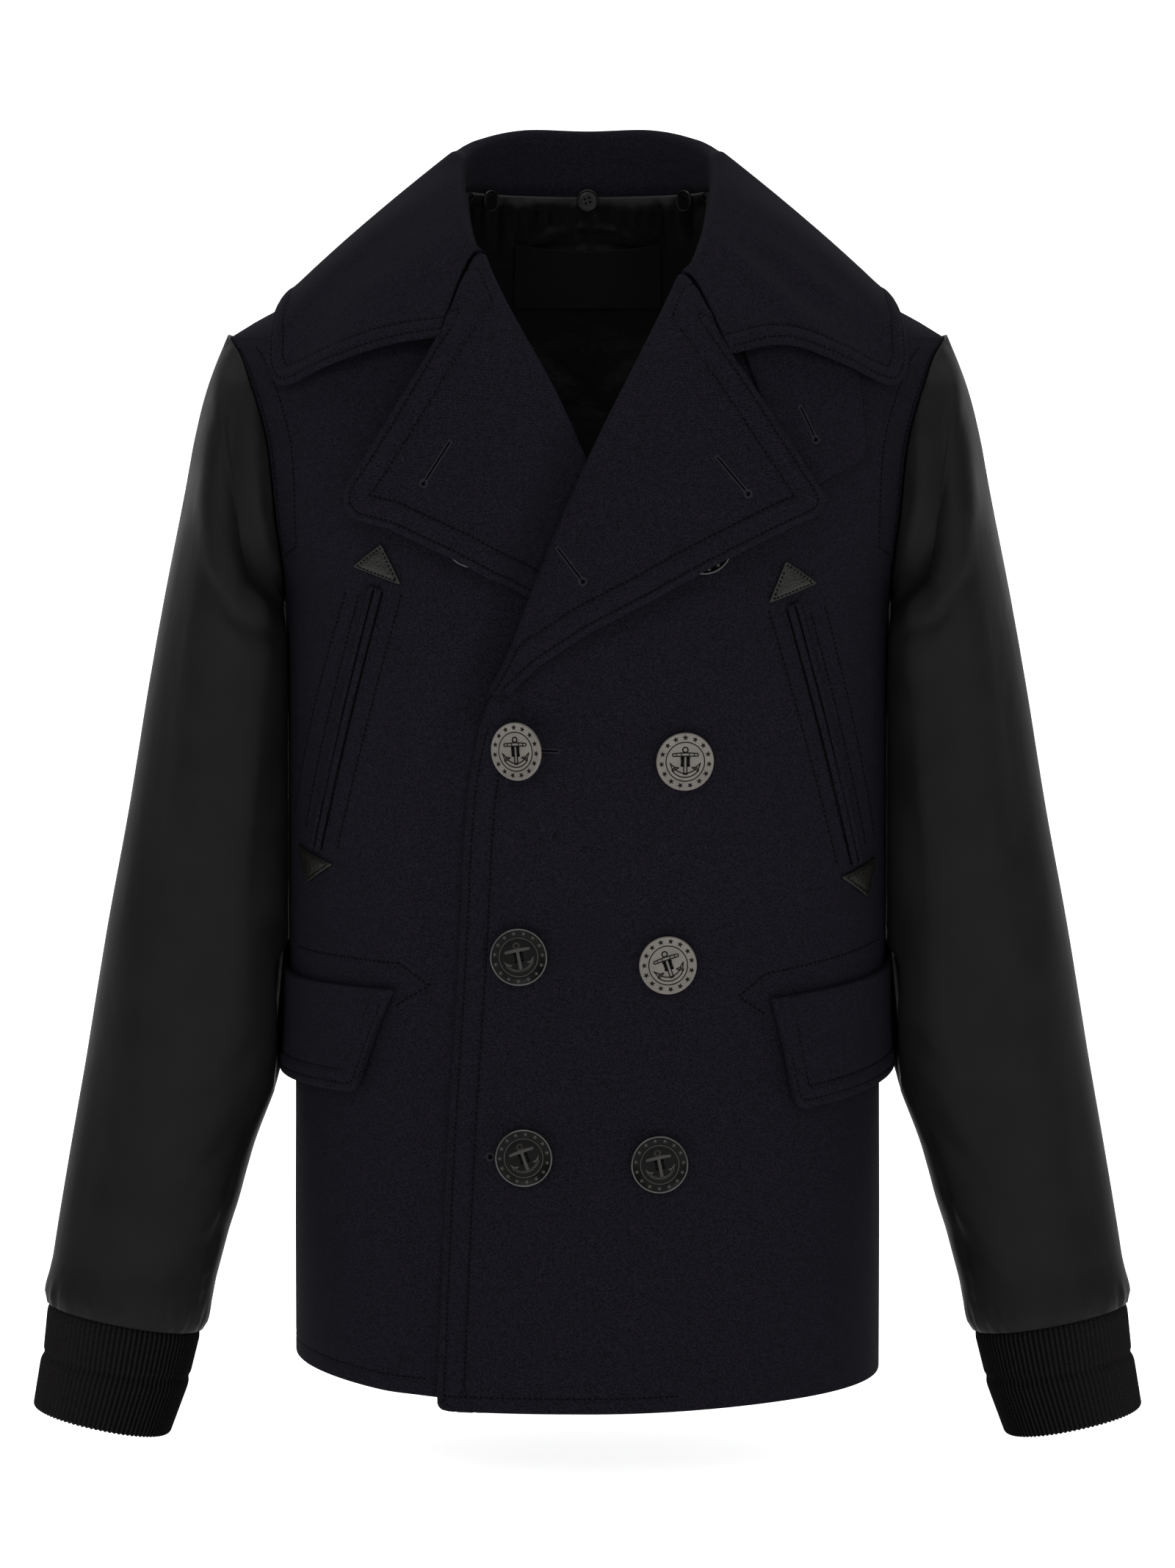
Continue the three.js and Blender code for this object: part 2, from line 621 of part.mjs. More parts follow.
// The collar in one piece: its end sections meet the lapels and take their form
function collarGrids() {
  const behind = COLLAR_BACK.map(collarSection);
  const left = COLLAR_FRONT.map((row) => frontSection(row, overEdge, OVER_LAPEL, 1));
  const right = COLLAR_FRONT.map((row) => frontSection(row, underEdge, UNDER_LAPEL, -1));
  const meet = (end, next) => end.map((point, j) => {
    const before = end[Math.max(j - 1, 0)];
    const along = end[Math.min(j + 1, end.length - 1)].clone().sub(before).normalize();
    const away = next[j].clone().sub(point);
    away.addScaledVector(along, -away.dot(along)).normalize();
    return point.clone().addScaledVector(away, between(COLLAR_RISE, SEAM * 2, j / (end.length - 1)));
  });
  const rightEnd = right[right.length - 1].map(mirrored);
  const leftEnd = left[left.length - 1];
  const rows = [
    meet(underLapel(0)[0], rightEnd),
    ...[...behind.slice(1), ...right].reverse().map((section) => section.map(mirrored)),
    ...behind,
    ...left,
    meet(overLapel(0)[0], leftEnd),
  ];
  const tracks = rows[0].map((_, j) => (
    new THREE.CatmullRomCurve3(rows.map((row) => row[j]), false, 'centripetal')
  ));
  const face = steps(COLLAR_STEPS).map((t) => tracks.map((track) => track.getPoint(t)));
  const under = offset(face, -COLLAR_WOOL);
  under[0] = meet(underLapel(COLLAR_WOOL)[0], rightEnd);
  under[COLLAR_STEPS] = meet(overLapel(COLLAR_WOOL)[0], leftEnd);
  return [face, under];
}
add('collar', wall(...collarGrids()), wool);

// A four-sided piece laid on the body, from corners in distance round the cloth and height
function laid(corners, rows, columns, out, thickness, lift = noStep) {
  const [a, b, c, d] = corners;
  const grid = (thick) => rows.map((v) => columns.map((u) => {
    const across = between(between(a[0], b[0], u), between(d[0], c[0], u), v);
    const z = between(between(a[1], b[1], u), between(d[1], c[1], u), v);
    return cloth(across, z, out + thick + lift(u, v));
  }));
  return wall(grid(thickness), grid(0));
}

add('throat_tab', laid(
  [TAB.topIn, TAB.topOut, TAB.endOut, TAB.endIn], steps(5), steps(5), TAB_LAY, TAB_WOOL,
), wool);

// Hip flaps, with a rounded free corner at the front
function flap({ side, top, bottom, topEnd, bottomEnd }) {
  const length = topEnd[0] - top[0];
  const grid = (thick) => steps(FLAP_DOWN).map((v) => FLAP_ALONG.map((u) => {
    const inset = Math.max(0, FLAP_CORNER - u * length);
    const cut = FLAP_CORNER - Math.sqrt(FLAP_CORNER ** 2 - inset ** 2);
    const upper = between(top[1], topEnd[1], u);
    const lower = between(bottom[1], bottomEnd[1], u) + cut;
    const across = between(between(top[0], topEnd[0], u), between(bottom[0], bottomEnd[0], u), v);
    const lift = between(FLAP_LIFT.front, FLAP_LIFT.side, u) * v + FLAP_LIFT.flare * (u * v) ** 2;
    return cloth(side * across, between(upper, lower, v), LAY + thick + lift);
  }));
  return wall(grid(FLAP_WOOL), grid(0));
}
FLAPS.forEach((row) => add(row.side < 0 ? 'hip_flap_right' : 'hip_flap_left', flap(row), wool));

// Chest pockets: two narrow lips beside the slit, and a leather patch at each end
function lip(from, to, side, place) {
  const direction = new THREE.Vector2(to[0] - from[0], to[1] - from[1]).normalize();
  const across = new THREE.Vector2(-direction.y, direction.x);
  const corner = (point, shift) => [
    side * (point[0] + across.x * shift), point[1] + across.y * shift,
  ];
  const near = place * SEAM;
  const far = place * (SEAM + WELT_WIDTH);
  const corners = [corner(from, near), corner(from, far), corner(to, far), corner(to, near)];
  return laid(corners, steps(8), steps(2), LAY, WELT_WOOL);
}

function patch(corners, side) {
  const outline = corners.flatMap((point, i) => {
    const next = corners[(i + 1) % corners.length];
    return [0.06, 0.35, 0.65, 0.94].map((t) => [
      side * between(point[0], next[0], t), between(point[1], next[1], t),
    ]);
  });
  const middle = [0, 1].map((k) => outline.reduce((sum, point) => sum + point[k], 0) / outline.length);
  const rings = [LAY, LAY + LEATHER].map((out) => (
    [middle, ...outline].map(([across, z]) => cloth(across, z, out))
  ));
  const count = outline.length;
  const index = [];
  for (let i = 0; i < count; i += 1) {
    const here = 1 + i;
    const next = 1 + (i + 1) % count;
    const above = count + 1;
    index.push(0, next, here, above, above + here, above + next);
    index.push(here, next, above + next, here, above + next, above + here);
  }
  return solid(rings.flat().flatMap((point) => point.toArray()), index);
}

CHEST_POCKETS.forEach(({ side, from, to, upper, lower }) => {
  const name = side < 0 ? 'right' : 'left';
  add(`chest_lip_inner_${name}`, lip(from, to, side, -1), wool);
  add(`chest_lip_outer_${name}`, lip(from, to, side, 1), wool);
  add(`chest_patch_upper_${name}`, patch(upper, side), leather);
  add(`chest_patch_lower_${name}`, patch(lower, side), leather);
});

// A ring of a tube from its outer and under edge
function ring({ outX, outZ, inX, inZ, depth, y }, sides, thick, grow) {
  const middle = new THREE.Vector3((outX + inX) / 2, y, (outZ + inZ) / 2);
  const reach = new THREE.Vector3((outX - inX) / 2, 0, (outZ - inZ) / 2);
  const length = reach.length();
  return Array.from({ length: sides }, (_, k) => {
    const angle = (k / sides) * Math.PI * 2;
    const swell = grow(k) - thick;
    const along = power(Math.cos(angle), 2 / SLEEVE_POWER) * (length + swell);
    const across = power(Math.sin(angle), 2 / SLEEVE_POWER) * (depth + swell);
    return middle.clone().addScaledVector(reach, along / length)
      .add(new THREE.Vector3(0, -across, 0));
  });
}

// The head of the sleeve, which follows the armhole just outside the body
function sleeveHead(inset) {
  return Array.from({ length: SLEEVE_SIDES }, (_, k) => {
    const angle = (k / SLEEVE_SIDES) * Math.PI * 2;
    const reach = Math.sin(angle) > 0 ? ARMHOLE.front : ARMHOLE.back;
    const y = ARMHOLE.y - (reach - inset) * Math.sin(angle);
    const z = ARMHOLE.z + (ARMHOLE.halfHeight - inset) * Math.cos(angle);
    return body(angleAtDepth(y, z), z, HEAD_LAY);
  });
}

const level = () => 0;
const ribbed = (k) => (k % 2 ? CUFF_RIB : 0);
const mirror = (grid) => grid.map((row) => row.map(mirrored));

function tube(outer, inner, side) {
  return side > 0 ? wall(outer, inner, true) : wall(mirror(outer), mirror(inner), true);
}

const sleeveRings = (thick) => SLEEVE.map((row) => ring(row, SLEEVE_SIDES, thick, level));
const sleeveOuter = [sleeveHead(-HEAD_REACH), ...sleeveRings(0)];
const sleeveInner = [sleeveHead(SLEEVE_CLOTH - HEAD_REACH), ...sleeveRings(SLEEVE_CLOTH)];
const cuffOuter = CUFF.map((row) => ring(row, CUFF_RIBS * 2, 0, ribbed));
const cuffInner = CUFF.map((row) => ring(row, CUFF_RIBS * 2, CUFF_KNIT, level));
[1, -1].forEach((side) => {
  const name = side > 0 ? 'left' : 'right';
  add(`sleeve_${name}`, tube(sleeveOuter, sleeveInner, side), satin);
  add(`cuff_${name}`, tube(cuffOuter, cuffInner, side), knit);
});

// A button turned about its axis: raised rim, dished face and a short thread shank behind
function button({ radius, thick, rim, dish }, shank, stand, segments) {
  const profile = [
    [0, stand + thick - dish],
    [radius - rim, stand + thick - dish],
    [radius - rim * 0.6, stand + thick],
    [radius - rim * 0.15, stand + thick],
    [radius, stand + thick * 0.55],
    [radius - rim * 0.35, stand],
  ];
  const foot = stand > 0 ? [[shank, stand], [shank, 0], [0, 0]] : [[0, 0]];
  const points = [...profile, ...foot].reverse().map(([x, y]) => new THREE.Vector2(x, y));
  return new THREE.LatheGeometry(points, segments);
}

function fasten(name, geometry, material, seat, face, turn = 0) {
  const normal = face.clone().sub(seat).normalize();
  const upright = new THREE.Vector3(0, 1, 0);
  const lean = new THREE.Quaternion().setFromUnitVectors(upright, normal);
  const tilt = new THREE.Quaternion().setFromAxisAngle(new THREE.Vector3(0, 0, 1), radians(turn));
  const mesh = new THREE.Mesh(geometry, material);
  mesh.name = name;
  mesh.position.copy(seat);
  mesh.quaternion.copy(tilt.multiply(lean));
  coat.add(mesh);
}

// A button that turns aside stands on a longer shank, which keeps its rim off the cloth
FRONT_BUTTONS.forEach(({ name, across, z, turn }) => {
  const lean = Math.sin(radians(turn));
  const stand = BUTTON.stand + (BUTTON.radius - BUTTON.shank) * lean;
  const out = BUTTON_LAY + BUTTON.shank * lean;
  const shape = button(BUTTON, BUTTON.shank, stand, BUTTON_SEGMENTS);
  fasten(name, shape, horn, cloth(across, z, out), cloth(across, z, 1 + out), -turn);
});

// Neck buttons inside the seam of the collar, the outer two turned towards the front
NECK_BUTTONS.forEach(({ name, angle, z, forward, out }) => {
  const seat = body(radians(angle), NECK_Z, 0).setZ(z);
  const inward = new THREE.Vector3(-seat.x, -seat.y, 0).normalize();
  const face = new THREE.Vector3(-seat.x * forward, -seat.y, 0).normalize();
  seat.addScaledVector(inward, COLLAR_WOOL + out);
  fasten(name, button(NECK_BUTTON, 0, 0, BUTTON_SEGMENTS), thinHorn, seat, seat.clone().add(face));
});

// Quilted lining inside the upper back, and a bare label on it
function puff(across, z) {
  const u = (across + z) / LINING.diamond;
  const v = (across - z) / LINING.diamond;
  return LINING.puff * Math.sqrt(Math.abs(Math.sin(Math.PI * u) * Math.sin(Math.PI * v)));
}

function lining() {
  const rows = steps(LINING.rows).map((t) => between(LINING.top, LINING.bottom, t));
  const grid = (out, relief) => rows.map((z) => {
    const side = angleAtDepth(Math.max(LINING.side, sideDepth(z, false) + LINING.side), z);
    return steps(LINING.columns).map((t) => {
      const angle = between(side, -Math.PI - side, t);
      const base = skin(angle, z);
      return body(angle, z, out - relief * puff(base.x, z));
    });
  });
  const back = -WOOL - LINING_LAY;
  return wall(grid(back, 0), grid(back - LINING_CLOTH, 1));
}
add('lining', lining(), quilt);

function label() {
  const rows = steps(LABEL.rows).map((t) => between(LABEL.top, LABEL.bottom, t));
  const grid = (out) => rows.map((z) => steps(LABEL.columns).map((t) => {
    const x = between(-LABEL.half, LABEL.half, t);
    return body(-angleAtX(x, z), z, out);
  }));
  const seat = -WOOL - LINING_LAY - LINING_CLOTH - LINING.puff - LAY;
  return wall(grid(seat), grid(seat - LABEL_CLOTH));
}
add('label', label(), tape);

export default coat;
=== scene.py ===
"""Double-breasted pea coat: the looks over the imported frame.

Lengths are in millimetres until a mesh is made.
"""
import math
import bmesh
import bpy
import numpy as np
from mathutils import Matrix, Vector
from mathutils.bvhtree import BVHTree
from mathutils.kdtree import KDTree


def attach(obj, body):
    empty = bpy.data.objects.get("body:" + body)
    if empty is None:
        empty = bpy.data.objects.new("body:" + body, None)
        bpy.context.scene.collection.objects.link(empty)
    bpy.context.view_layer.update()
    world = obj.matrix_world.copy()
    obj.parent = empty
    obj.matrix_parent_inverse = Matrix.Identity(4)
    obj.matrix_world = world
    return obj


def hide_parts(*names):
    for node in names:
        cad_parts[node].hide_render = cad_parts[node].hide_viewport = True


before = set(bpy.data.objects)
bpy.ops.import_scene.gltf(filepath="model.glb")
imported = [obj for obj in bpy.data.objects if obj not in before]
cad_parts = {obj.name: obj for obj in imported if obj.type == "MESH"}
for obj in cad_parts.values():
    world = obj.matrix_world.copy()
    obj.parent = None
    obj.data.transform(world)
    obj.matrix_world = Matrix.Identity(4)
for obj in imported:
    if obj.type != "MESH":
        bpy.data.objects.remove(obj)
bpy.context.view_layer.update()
RNG = np.random.default_rng(7)
MM = 0.001


# Numbers of the pattern, the same as the solids'

WOOL, COLLAR_WOOL, SLEEVE_CLOTH, CUFF_KNIT = 3.0, 3.2, 2.0, 1.4
FLAP_WOOL, TAB_WOOL, WELT_WOOL = 4.0, 3.0, 1.8
LINING_CLOTH, LABEL_CLOTH = 1.2, 0.8
SEAM, ROLL_SEAM, NECK_SEAM, LAY, TAB_LAY = 0.3, 0.5, 0.9, 0.8, 1.2
COLLAR_LAY, COLLAR_RISE, BUTTON_LAY, LINING_LAY, HEAD_LAY = 2.1, 3.4, 0.7, 2.0, 1.5
NECK_Z, HEM_Z, HEM_START_Z = 0.0, -740.0, -560.0
ARM_Z, ARM_HALF, ARM_Y, ARM_FRONT, ARM_BACK = -173.0, 82.0, 2.0, 62.0, 66.0
SHOULDER_Z, ARMPIT_Z = ARM_Z + ARM_HALF, ARM_Z - ARM_HALF


def table(columns, rows):
    return {name: np.array([row[i] for row in rows], float) for i, name in enumerate(columns.split())}


BODY = table("z half front back power", [
    (0, 75, 62, 72, 2), (-15, 97, 78, 86, 1.88), (-40, 137, 97, 101, 1.76), (-65, 177, 110, 111, 1.7),
    (-82, 208.5, 118, 117, 1.68), (-91, 223, 121, 119, 1.74), (-115, 221, 126, 122, 2),
    (-150, 213, 132, 126, 2.22), (-200, 202, 138, 128, 2.35), (-255, 188, 139, 125, 2.35),
    (-350, 186.6, 135, 118, 2.35), (-450, 186.8, 131, 116, 2.35), (-550, 183, 134, 121, 2.35),
    (-650, 183.5, 138, 126, 2.35), (-740, 183.5, 141, 129, 2.35)])
HEM = table("x over under back", [
    (-184, -740, -723, -722), (-94, -740, -731.5, -729), (0, -740, -733, -733), (127, -736, -733, -733),
    (184, -734, -732, -733)])
OVER_EDGE = table("z x", [
    (0, 75), (-20, 72), (-40, 66), (-58, 58), (-174, 1), (-222, -20), (-284, -44), (-325, -63.5), (-374, -72),
    (-464, -77), (-578, -84), (-740, -91)])
UNDER_EDGE = table("z x", [
    (0, -75), (-20, -72), (-45, -65), (-131, -21), (-174, -1), (-250, 30), (-318, 62), (-374, 71), (-464, 77),
    (-578, 84), (-740, 91)])
STEP = table("z depth width", [
    (0, 0, 40), (-100, 0, 40), (-165, 10.8, 33), (-300, 10.8, 33), (-345, 4.2, 34), (-740, 4.2, 34)])
COVER_INNER, COVER_OUTER = 12.0, 33.0
CORNER = 6.0
OVER_LAPEL = table("roll edge z", [
    (-58, 81, -106), (-70, 91, -120), (-84, 101, -135), (-100, 113, -154), (-116, 124, -172),
    (-128, 131.5, -184), (-136, 134, -190), (-143, 132, -196), (-152, 126, -200), (-172, 111, -207),
    (-208, 70, -229), (-236, 32, -251), (-262, 0, -268), (-286, -30, -288), (-306, -47, -305)])
UNDER_LAPEL = table("roll edge z", [
    (-45, -84, -96), (-59, -94, -112), (-74, -103, -127), (-92, -115, -147), (-110, -126, -166),
    (-124, -134.5, -179), (-132, -138, -187), (-139, -137, -195), (-148, -130, -201), (-168, -112, -206),
    (-200, -72, -226), (-230, -35, -248), (-258, 0, -266), (-284, 30, -286), (-302, 45, -303)])
LAPEL_LAY, LAPEL_LIFT, LAPEL_RISE, LAPEL_FREE = 1.6, 12.0, 0.6, 60.0
LAPEL_ROLL = COLLAR_WOOL + LAPEL_LAY / 2
LAPEL_MID = LAPEL_LAY + COLLAR_WOOL - LAPEL_ROLL
COLLAR_BACK = [
    dict(foot=(0, 72.5, 0.6), top=(0, 81, 44), edge=(0, 114, -51), roll=7, bulge=5),
    dict(foot=(38, 62.8, 0.6), top=(39, 71, 44), edge=(60, 107, -53), roll=7, bulge=6),
    dict(foot=(62, 41, 0.6), top=(64, 46, 36), edge=(122, 82, -58), roll=6.5, bulge=4),
    dict(foot=(74, 16, 0.8), top=(74.5, 18, 27), edge=(170, 42, -62), roll=6, bulge=2.5)]
COLLAR_FRONT = [
    dict(down=0, rise=(1, 1, 22), edge=(187.5, 0, -65.5), roll=6, bulge=2.5),
    dict(down=0.06, rise=(2.5, 1, 17), edge=(191.5, -34, -73), roll=5.6, bulge=5),
    dict(down=0.22, rise=(4, 0, 13.5), edge=(194.5, -57, -90), roll=5.2, bulge=10),
    dict(down=0.42, rise=(4.5, -1, 10.5), edge=(194, -69, -109), roll=4.8, bulge=13),
    dict(down=0.58, rise=(4.2, -2, 8.5), edge=(187, -78, -119), roll=4.6, bulge=17),
    dict(down=0.74, rise=(3.6, -3, 7), edge=(157, -100, -107.5), roll=4.4, bulge=15),
    dict(down=0.88, rise=(2.6, -3.6, 5.5), edge=(119, -114, -95), roll=4.2, bulge=8)]
SLEEVE = table("outX outZ inX inZ depth y", [
    (230.5, -106, 190.5, -264, 71, 0), (237, -124, 189.6, -275, 74, 1), (244.5, -154, 189.2, -287, 75.5, 2),
    (252, -192, 189, -304, 76, 3), (262.5, -246, 188.7, -330, 76, 4), (274, -310, 188.5, -368, 76, 5),
    (286, -382, 188.6, -421, 74, 4), (300, -456, 191.4, -478, 70, 0), (313.5, -536, 200, -556, 61, -7),
    (325, -603, 216, -619, 53, -14), (333, -653, 230, -668, 48, -20), (338, -690, 241, -709, 44, -25)])
CUFF = table("outX outZ inX inZ depth y", [
    (336, -690.5, 243, -709.5, 41.5, -25), (339, -722, 250, -738, 39.5, -28),
    (344, -753.5, 262.5, -771.5, 39.5, -31)])
SLEEVE_POWER = 2.15
CUFF_LENGTH, CUFF_RIBS, RIB_POINTS, RIB_HEIGHT = 64.0, 92, 5, 1.2
FLAPS = [
    dict(side=-1, top=(120, -486), bottom=(139, -548), top_end=(253, -483), bottom_end=(252, -545)),
    dict(side=1, top=(114, -491), bottom=(124, -558), top_end=(253, -477), bottom_end=(252, -541))]
FLAP_CORNER = 12.0
FLAP_LIFT = dict(front=5.0, side=1.5, flare=4.0)
POCKETS = [
    dict(side=-1, start=(131.5, -243), end=(182.5, -403), upper=((126, -216), (147, -230), (113, -241)),
         lower=((206, -402), (165, -412), (191, -425)),
         rows=(((144, -247), (197, -394)), ((128, -249), (172, -390)), ((154, -245), (215, -385)),
               ((114, -246), (163, -404)))),
    dict(side=1, start=(127.5, -253), end=(180, -412), upper=((121, -226), (144, -240), (110, -252)),
         lower=((204, -410), (164, -420), (191, -434)),
         rows=(((140, -257), (192, -404)), ((124, -259), (170, -402)), ((151, -254), (205, -400)),
               ((111, -256), (162, -412))))]
WELT_WIDTH = 4.4
STITCH_ROWS = dict(front=(3.8, 16.0), collar=(2.6, 10.8), flap=(3.4, 11.5), hem=9.0)
STITCHING_STARTS_Z = -320.0
EDGES = dict(
    front=dict(lines=((4.0, 1.1), (16.0, 1.5)), puff=1.3),
    collar=dict(lines=((2.6, 0.8), (10.8, 1.3)), puff=1.1),
    flap=dict(lines=((3.4, 0.6), (11.5, 1.1)), puff=0.8), tab=dict(lines=((3.2, 0.3),), puff=0.3))
HEM_GROOVE = dict(depth=0.35, width=1.4)
SLEEVE_LEAN = dict(gap=1.6, over_flap=10.5, most=8.0)
FAR = 99.0
MOTIF = dict(stars=15, star_ring=14.5, circle=11.7)
TAB = dict(top_in=(92, -92), top_out=(166, -101), end_out=(174, -164), end_in=(126, -186))
FRONT_BUTTONS = [
    ("button_edge_top", -38, -339, 26, True, 3), ("button_edge_middle", -41, -464, 0, False, 12),
    ("button_edge_low", -38, -585, 0, False, 20), ("button_inner_top", 58, -346, 0, True, 0),
    ("button_inner_middle", 48, -469, 0, True, 18), ("button_inner_low", 43, -589, 0, False, 11),
    ("button_lapel_left", 69, -217, 0, False, 0), ("button_lapel_right", -68, -213, 0, False, 0)]
BUTTON = dict(radius=17.5, thick=3.2, rim=3.4, dish=0.8, shank=5.0, stand=0.8)
NECK_BUTTONS = [
    ("button_neck_right", -152, -4.5, 0.6, 1.6), ("button_neck_middle", -90, -2.2, 1, 0),
    ("button_neck_left", -28, -4.5, 0.6, 1.6)]
NECK_BUTTON = dict(radius=7.0, thick=2.2)
LINING = dict(top=-3.0, bottom=-300.0, side=12.0, puff=1.6, diamond=62.0)
LABEL = dict(half=49.0, top=-25.0, bottom=-66.0, sag=4.0)


# Curves and the body surface

def curve(xs, ys):
    """Smooth function through points, which never swings past them."""
    order = np.argsort(xs)
    xs, ys = np.asarray(xs, float)[order], np.asarray(ys, float)[order]
    width = np.diff(xs)
    rise = np.diff(ys) / width
    slope = np.empty_like(ys)
    slope[0], slope[-1] = rise[0], rise[-1]
    for k in range(1, len(xs) - 1):
        before, after = 2 * width[k] + width[k - 1], width[k] + 2 * width[k - 1]
        turning = rise[k - 1] * rise[k] <= 0
        slope[k] = 0 if turning else (before + after) / (before / rise[k - 1] + after / rise[k])

    def value(at):
        at = np.clip(np.asarray(at, float), xs[0], xs[-1])
        k = np.clip(np.searchsorted(xs, at) - 1, 0, len(xs) - 2)
        t = (at - xs[k]) / width[k]
        return ((1 + 2 * t) * (1 - t) ** 2 * ys[k] + t * (1 - t) ** 2 * width[k] * slope[k]
                + t * t * (3 - 2 * t) * ys[k + 1] + t * t * (t - 1) * width[k] * slope[k + 1])
    return value


def column(rows, to, by="z"):
    """A smooth function from one column of a table to another."""
    return curve(rows[by], rows[to])


def sampled(rows, count):
    """A table's columns at evenly spaced places between its rows, on straight lines."""
    size = len(next(iter(rows.values())))
    at = np.linspace(0, size - 1, count)
    return {name: np.interp(at, np.arange(size), values) for name, values in rows.items()}


def smooth(t, low=0.0, high=1.0):
    t = np.clip((np.asarray(t, float) - low) / (high - low), 0, 1)
    return t * t * (3 - 2 * t)


half, front_depth, back_depth, oval = (column(BODY, c) for c in ("half", "front", "back", "power"))
over_edge, under_edge = column(OVER_EDGE, "x"), column(UNDER_EDGE, "x")
step_depth, step_width = column(STEP, "depth"), column(STEP, "width")
hems = {piece: column(HEM, piece, "x") for piece in ("over", "under", "back")}


def signed_power(value, exponent):
    return np.sign(value) * np.abs(value) ** exponent


def skin(angle, z):
    """The outside of the coat's body at an angle round it and a height."""
    angle, z = np.broadcast_arrays(np.asarray(angle, float), np.asarray(z, float))
    exponent = 2 / oval(z)
    depth = np.where(np.sin(angle) >= 0, -front_depth(z), back_depth(z))
    return np.stack([half(z) * signed_power(np.cos(angle), exponent),
                     depth * np.abs(np.sin(angle)) ** exponent, z], -1)


def run(line):
    """Distance along a line of points, at each of them."""
    return np.concatenate([[0], np.cumsum(np.linalg.norm(np.diff(line, axis=0), axis=-1))])


def along_line(line, run_at, where):
    """Points at some distances along a line."""
    return np.stack([np.interp(where, run_at, values) for values in np.asarray(line).T], -1)


def unit(v):
    return v / np.maximum(np.linalg.norm(v, axis=-1, keepdims=True), 1e-9)


def body_normal(angle, z):
    z = np.asarray(z, float)
    low, high = np.maximum(z - 0.5, HEM_Z), np.minimum(z + 0.5, NECK_Z)
    around = skin(angle - 0.004, z) - skin(angle + 0.004, z)
    return unit(np.cross(around, skin(angle, high) - skin(angle, low)))


def body(angle, z, out=0.0):
    return skin(angle, z) + body_normal(angle, z) * np.asarray(out, float)[..., None]


def angle_at_x(x, z):
    share = np.clip(x / half(z), -1, 1)
    return np.arccos(signed_power(share, oval(z) / 2))


def angle_at_depth(y, z):
    depth = np.where(y < 0, front_depth(z), back_depth(z))
    angle = np.arcsin(np.minimum(1, (np.abs(y) / depth) ** (oval(z) / 2)))
    return np.where(y < 0, angle, -angle)


GIRTH_TURNS, GIRTH_LEVELS = 240, 370
GIRTH_ANGLES = np.linspace(0, math.pi / 2, GIRTH_TURNS + 1)
GIRTH_Z = np.linspace(HEM_Z, NECK_Z, GIRTH_LEVELS + 1)
GIRTH_POINTS = skin(math.pi / 2 - GIRTH_ANGLES[None, :], GIRTH_Z[:, None])
GIRTH = np.concatenate([np.zeros((GIRTH_LEVELS + 1, 1)),
                        np.cumsum(np.linalg.norm(np.diff(GIRTH_POINTS, axis=1), axis=-1), axis=1)], 1)


def girth_level(z):
    """Place of a height among the levels of the girth table, short of the last one."""
    return np.clip((z - HEM_Z) / (NECK_Z - HEM_Z) * GIRTH_LEVELS, 0, GIRTH_LEVELS - 0.001)


def angle_at_girth(across, z):
    """Angle at a distance round the cloth from the middle of the front."""
    across, z = np.broadcast_arrays(np.asarray(across, float), np.asarray(z, float))
    flat_a, flat_z = across.ravel(), z.ravel()
    at = girth_level(flat_z)
    k = at.astype(int)
    share = (at - k)[:, None]
    result = np.empty(len(flat_a))
    batch = 8000
    for start in range(0, len(flat_a), batch):
        part = slice(start, start + batch)
        lengths = GIRTH[k[part]] * (1 - share[part]) + GIRTH[k[part] + 1] * share[part]
        wanted = np.minimum(np.abs(flat_a[part]), lengths[:, -1] - 1e-6)
        low = np.clip((lengths <= wanted[:, None]).sum(1) - 1, 0, GIRTH_TURNS - 1)
        rows = np.arange(len(low))
        a, b = lengths[rows, low], lengths[rows, low + 1]
        result[part] = (low + (wanted - a) / (b - a)) * (math.pi / 2 / GIRTH_TURNS)
    turn = math.pi / 2 + np.where(flat_a < 0, 1, -1) * result
    return turn.reshape(across.shape)


def cloth(across, z, out=0.0):
    return body(angle_at_girth(across, z), z, out)


def cloth_normal(across, z):
    return body_normal(angle_at_girth(across, z), z)


def at_x(x, z, out=0.0):
    return body(angle_at_x(x, z), z, out)


def step_back(x, z):
    """How far the covered front steps back, at an x of the front."""
    width = step_width(z)
    return step_depth(z) * smooth((x - over_edge(z) + width) / (width - COVER_INNER))


def no_step(x, z):
    return 0 * x


def uncovered(x, z, sign):
    return np.ones_like(x) if sign > 0 else smooth(over_edge(z) - x, COVER_INNER, COVER_OUTER)


def side_depth(z, is_front):
    """Where a panel ends at the side: the side seam, or the armhole's edge."""
    sign = -1 if is_front else 1
    seam = sign * SEAM / 2
    share = np.sqrt(np.clip(1 - ((z - ARM_Z) / ARM_HALF) ** 2, 0, None))
    reach = ARM_Y + sign * (ARM_FRONT if is_front else ARM_BACK) * share
    reach = np.minimum(reach, seam) if is_front else np.maximum(reach, seam)
    return np.where((z >= SHOULDER_Z) | (z <= ARMPIT_Z), seam, reach)


def hang(angle, z, out, piece):
    """Points of a body panel, let down near the hem to the piece's own hem line."""
    share = np.clip((HEM_START_Z - z) / (HEM_START_Z - HEM_Z), 0, None)
    return body(angle, z + share * (hems[piece](skin(angle, z)[..., 0]) - HEM_Z), out)


# Meshes from grids

def grid_normals(grid, wrap=False):
    along = np.gradient(grid, axis=0)
    if wrap:
        across = (np.roll(grid, -1, 1) - np.roll(grid, 1, 1)) / 2
    else:
        across = np.gradient(grid, axis=1)
    return unit(np.cross(along, across))


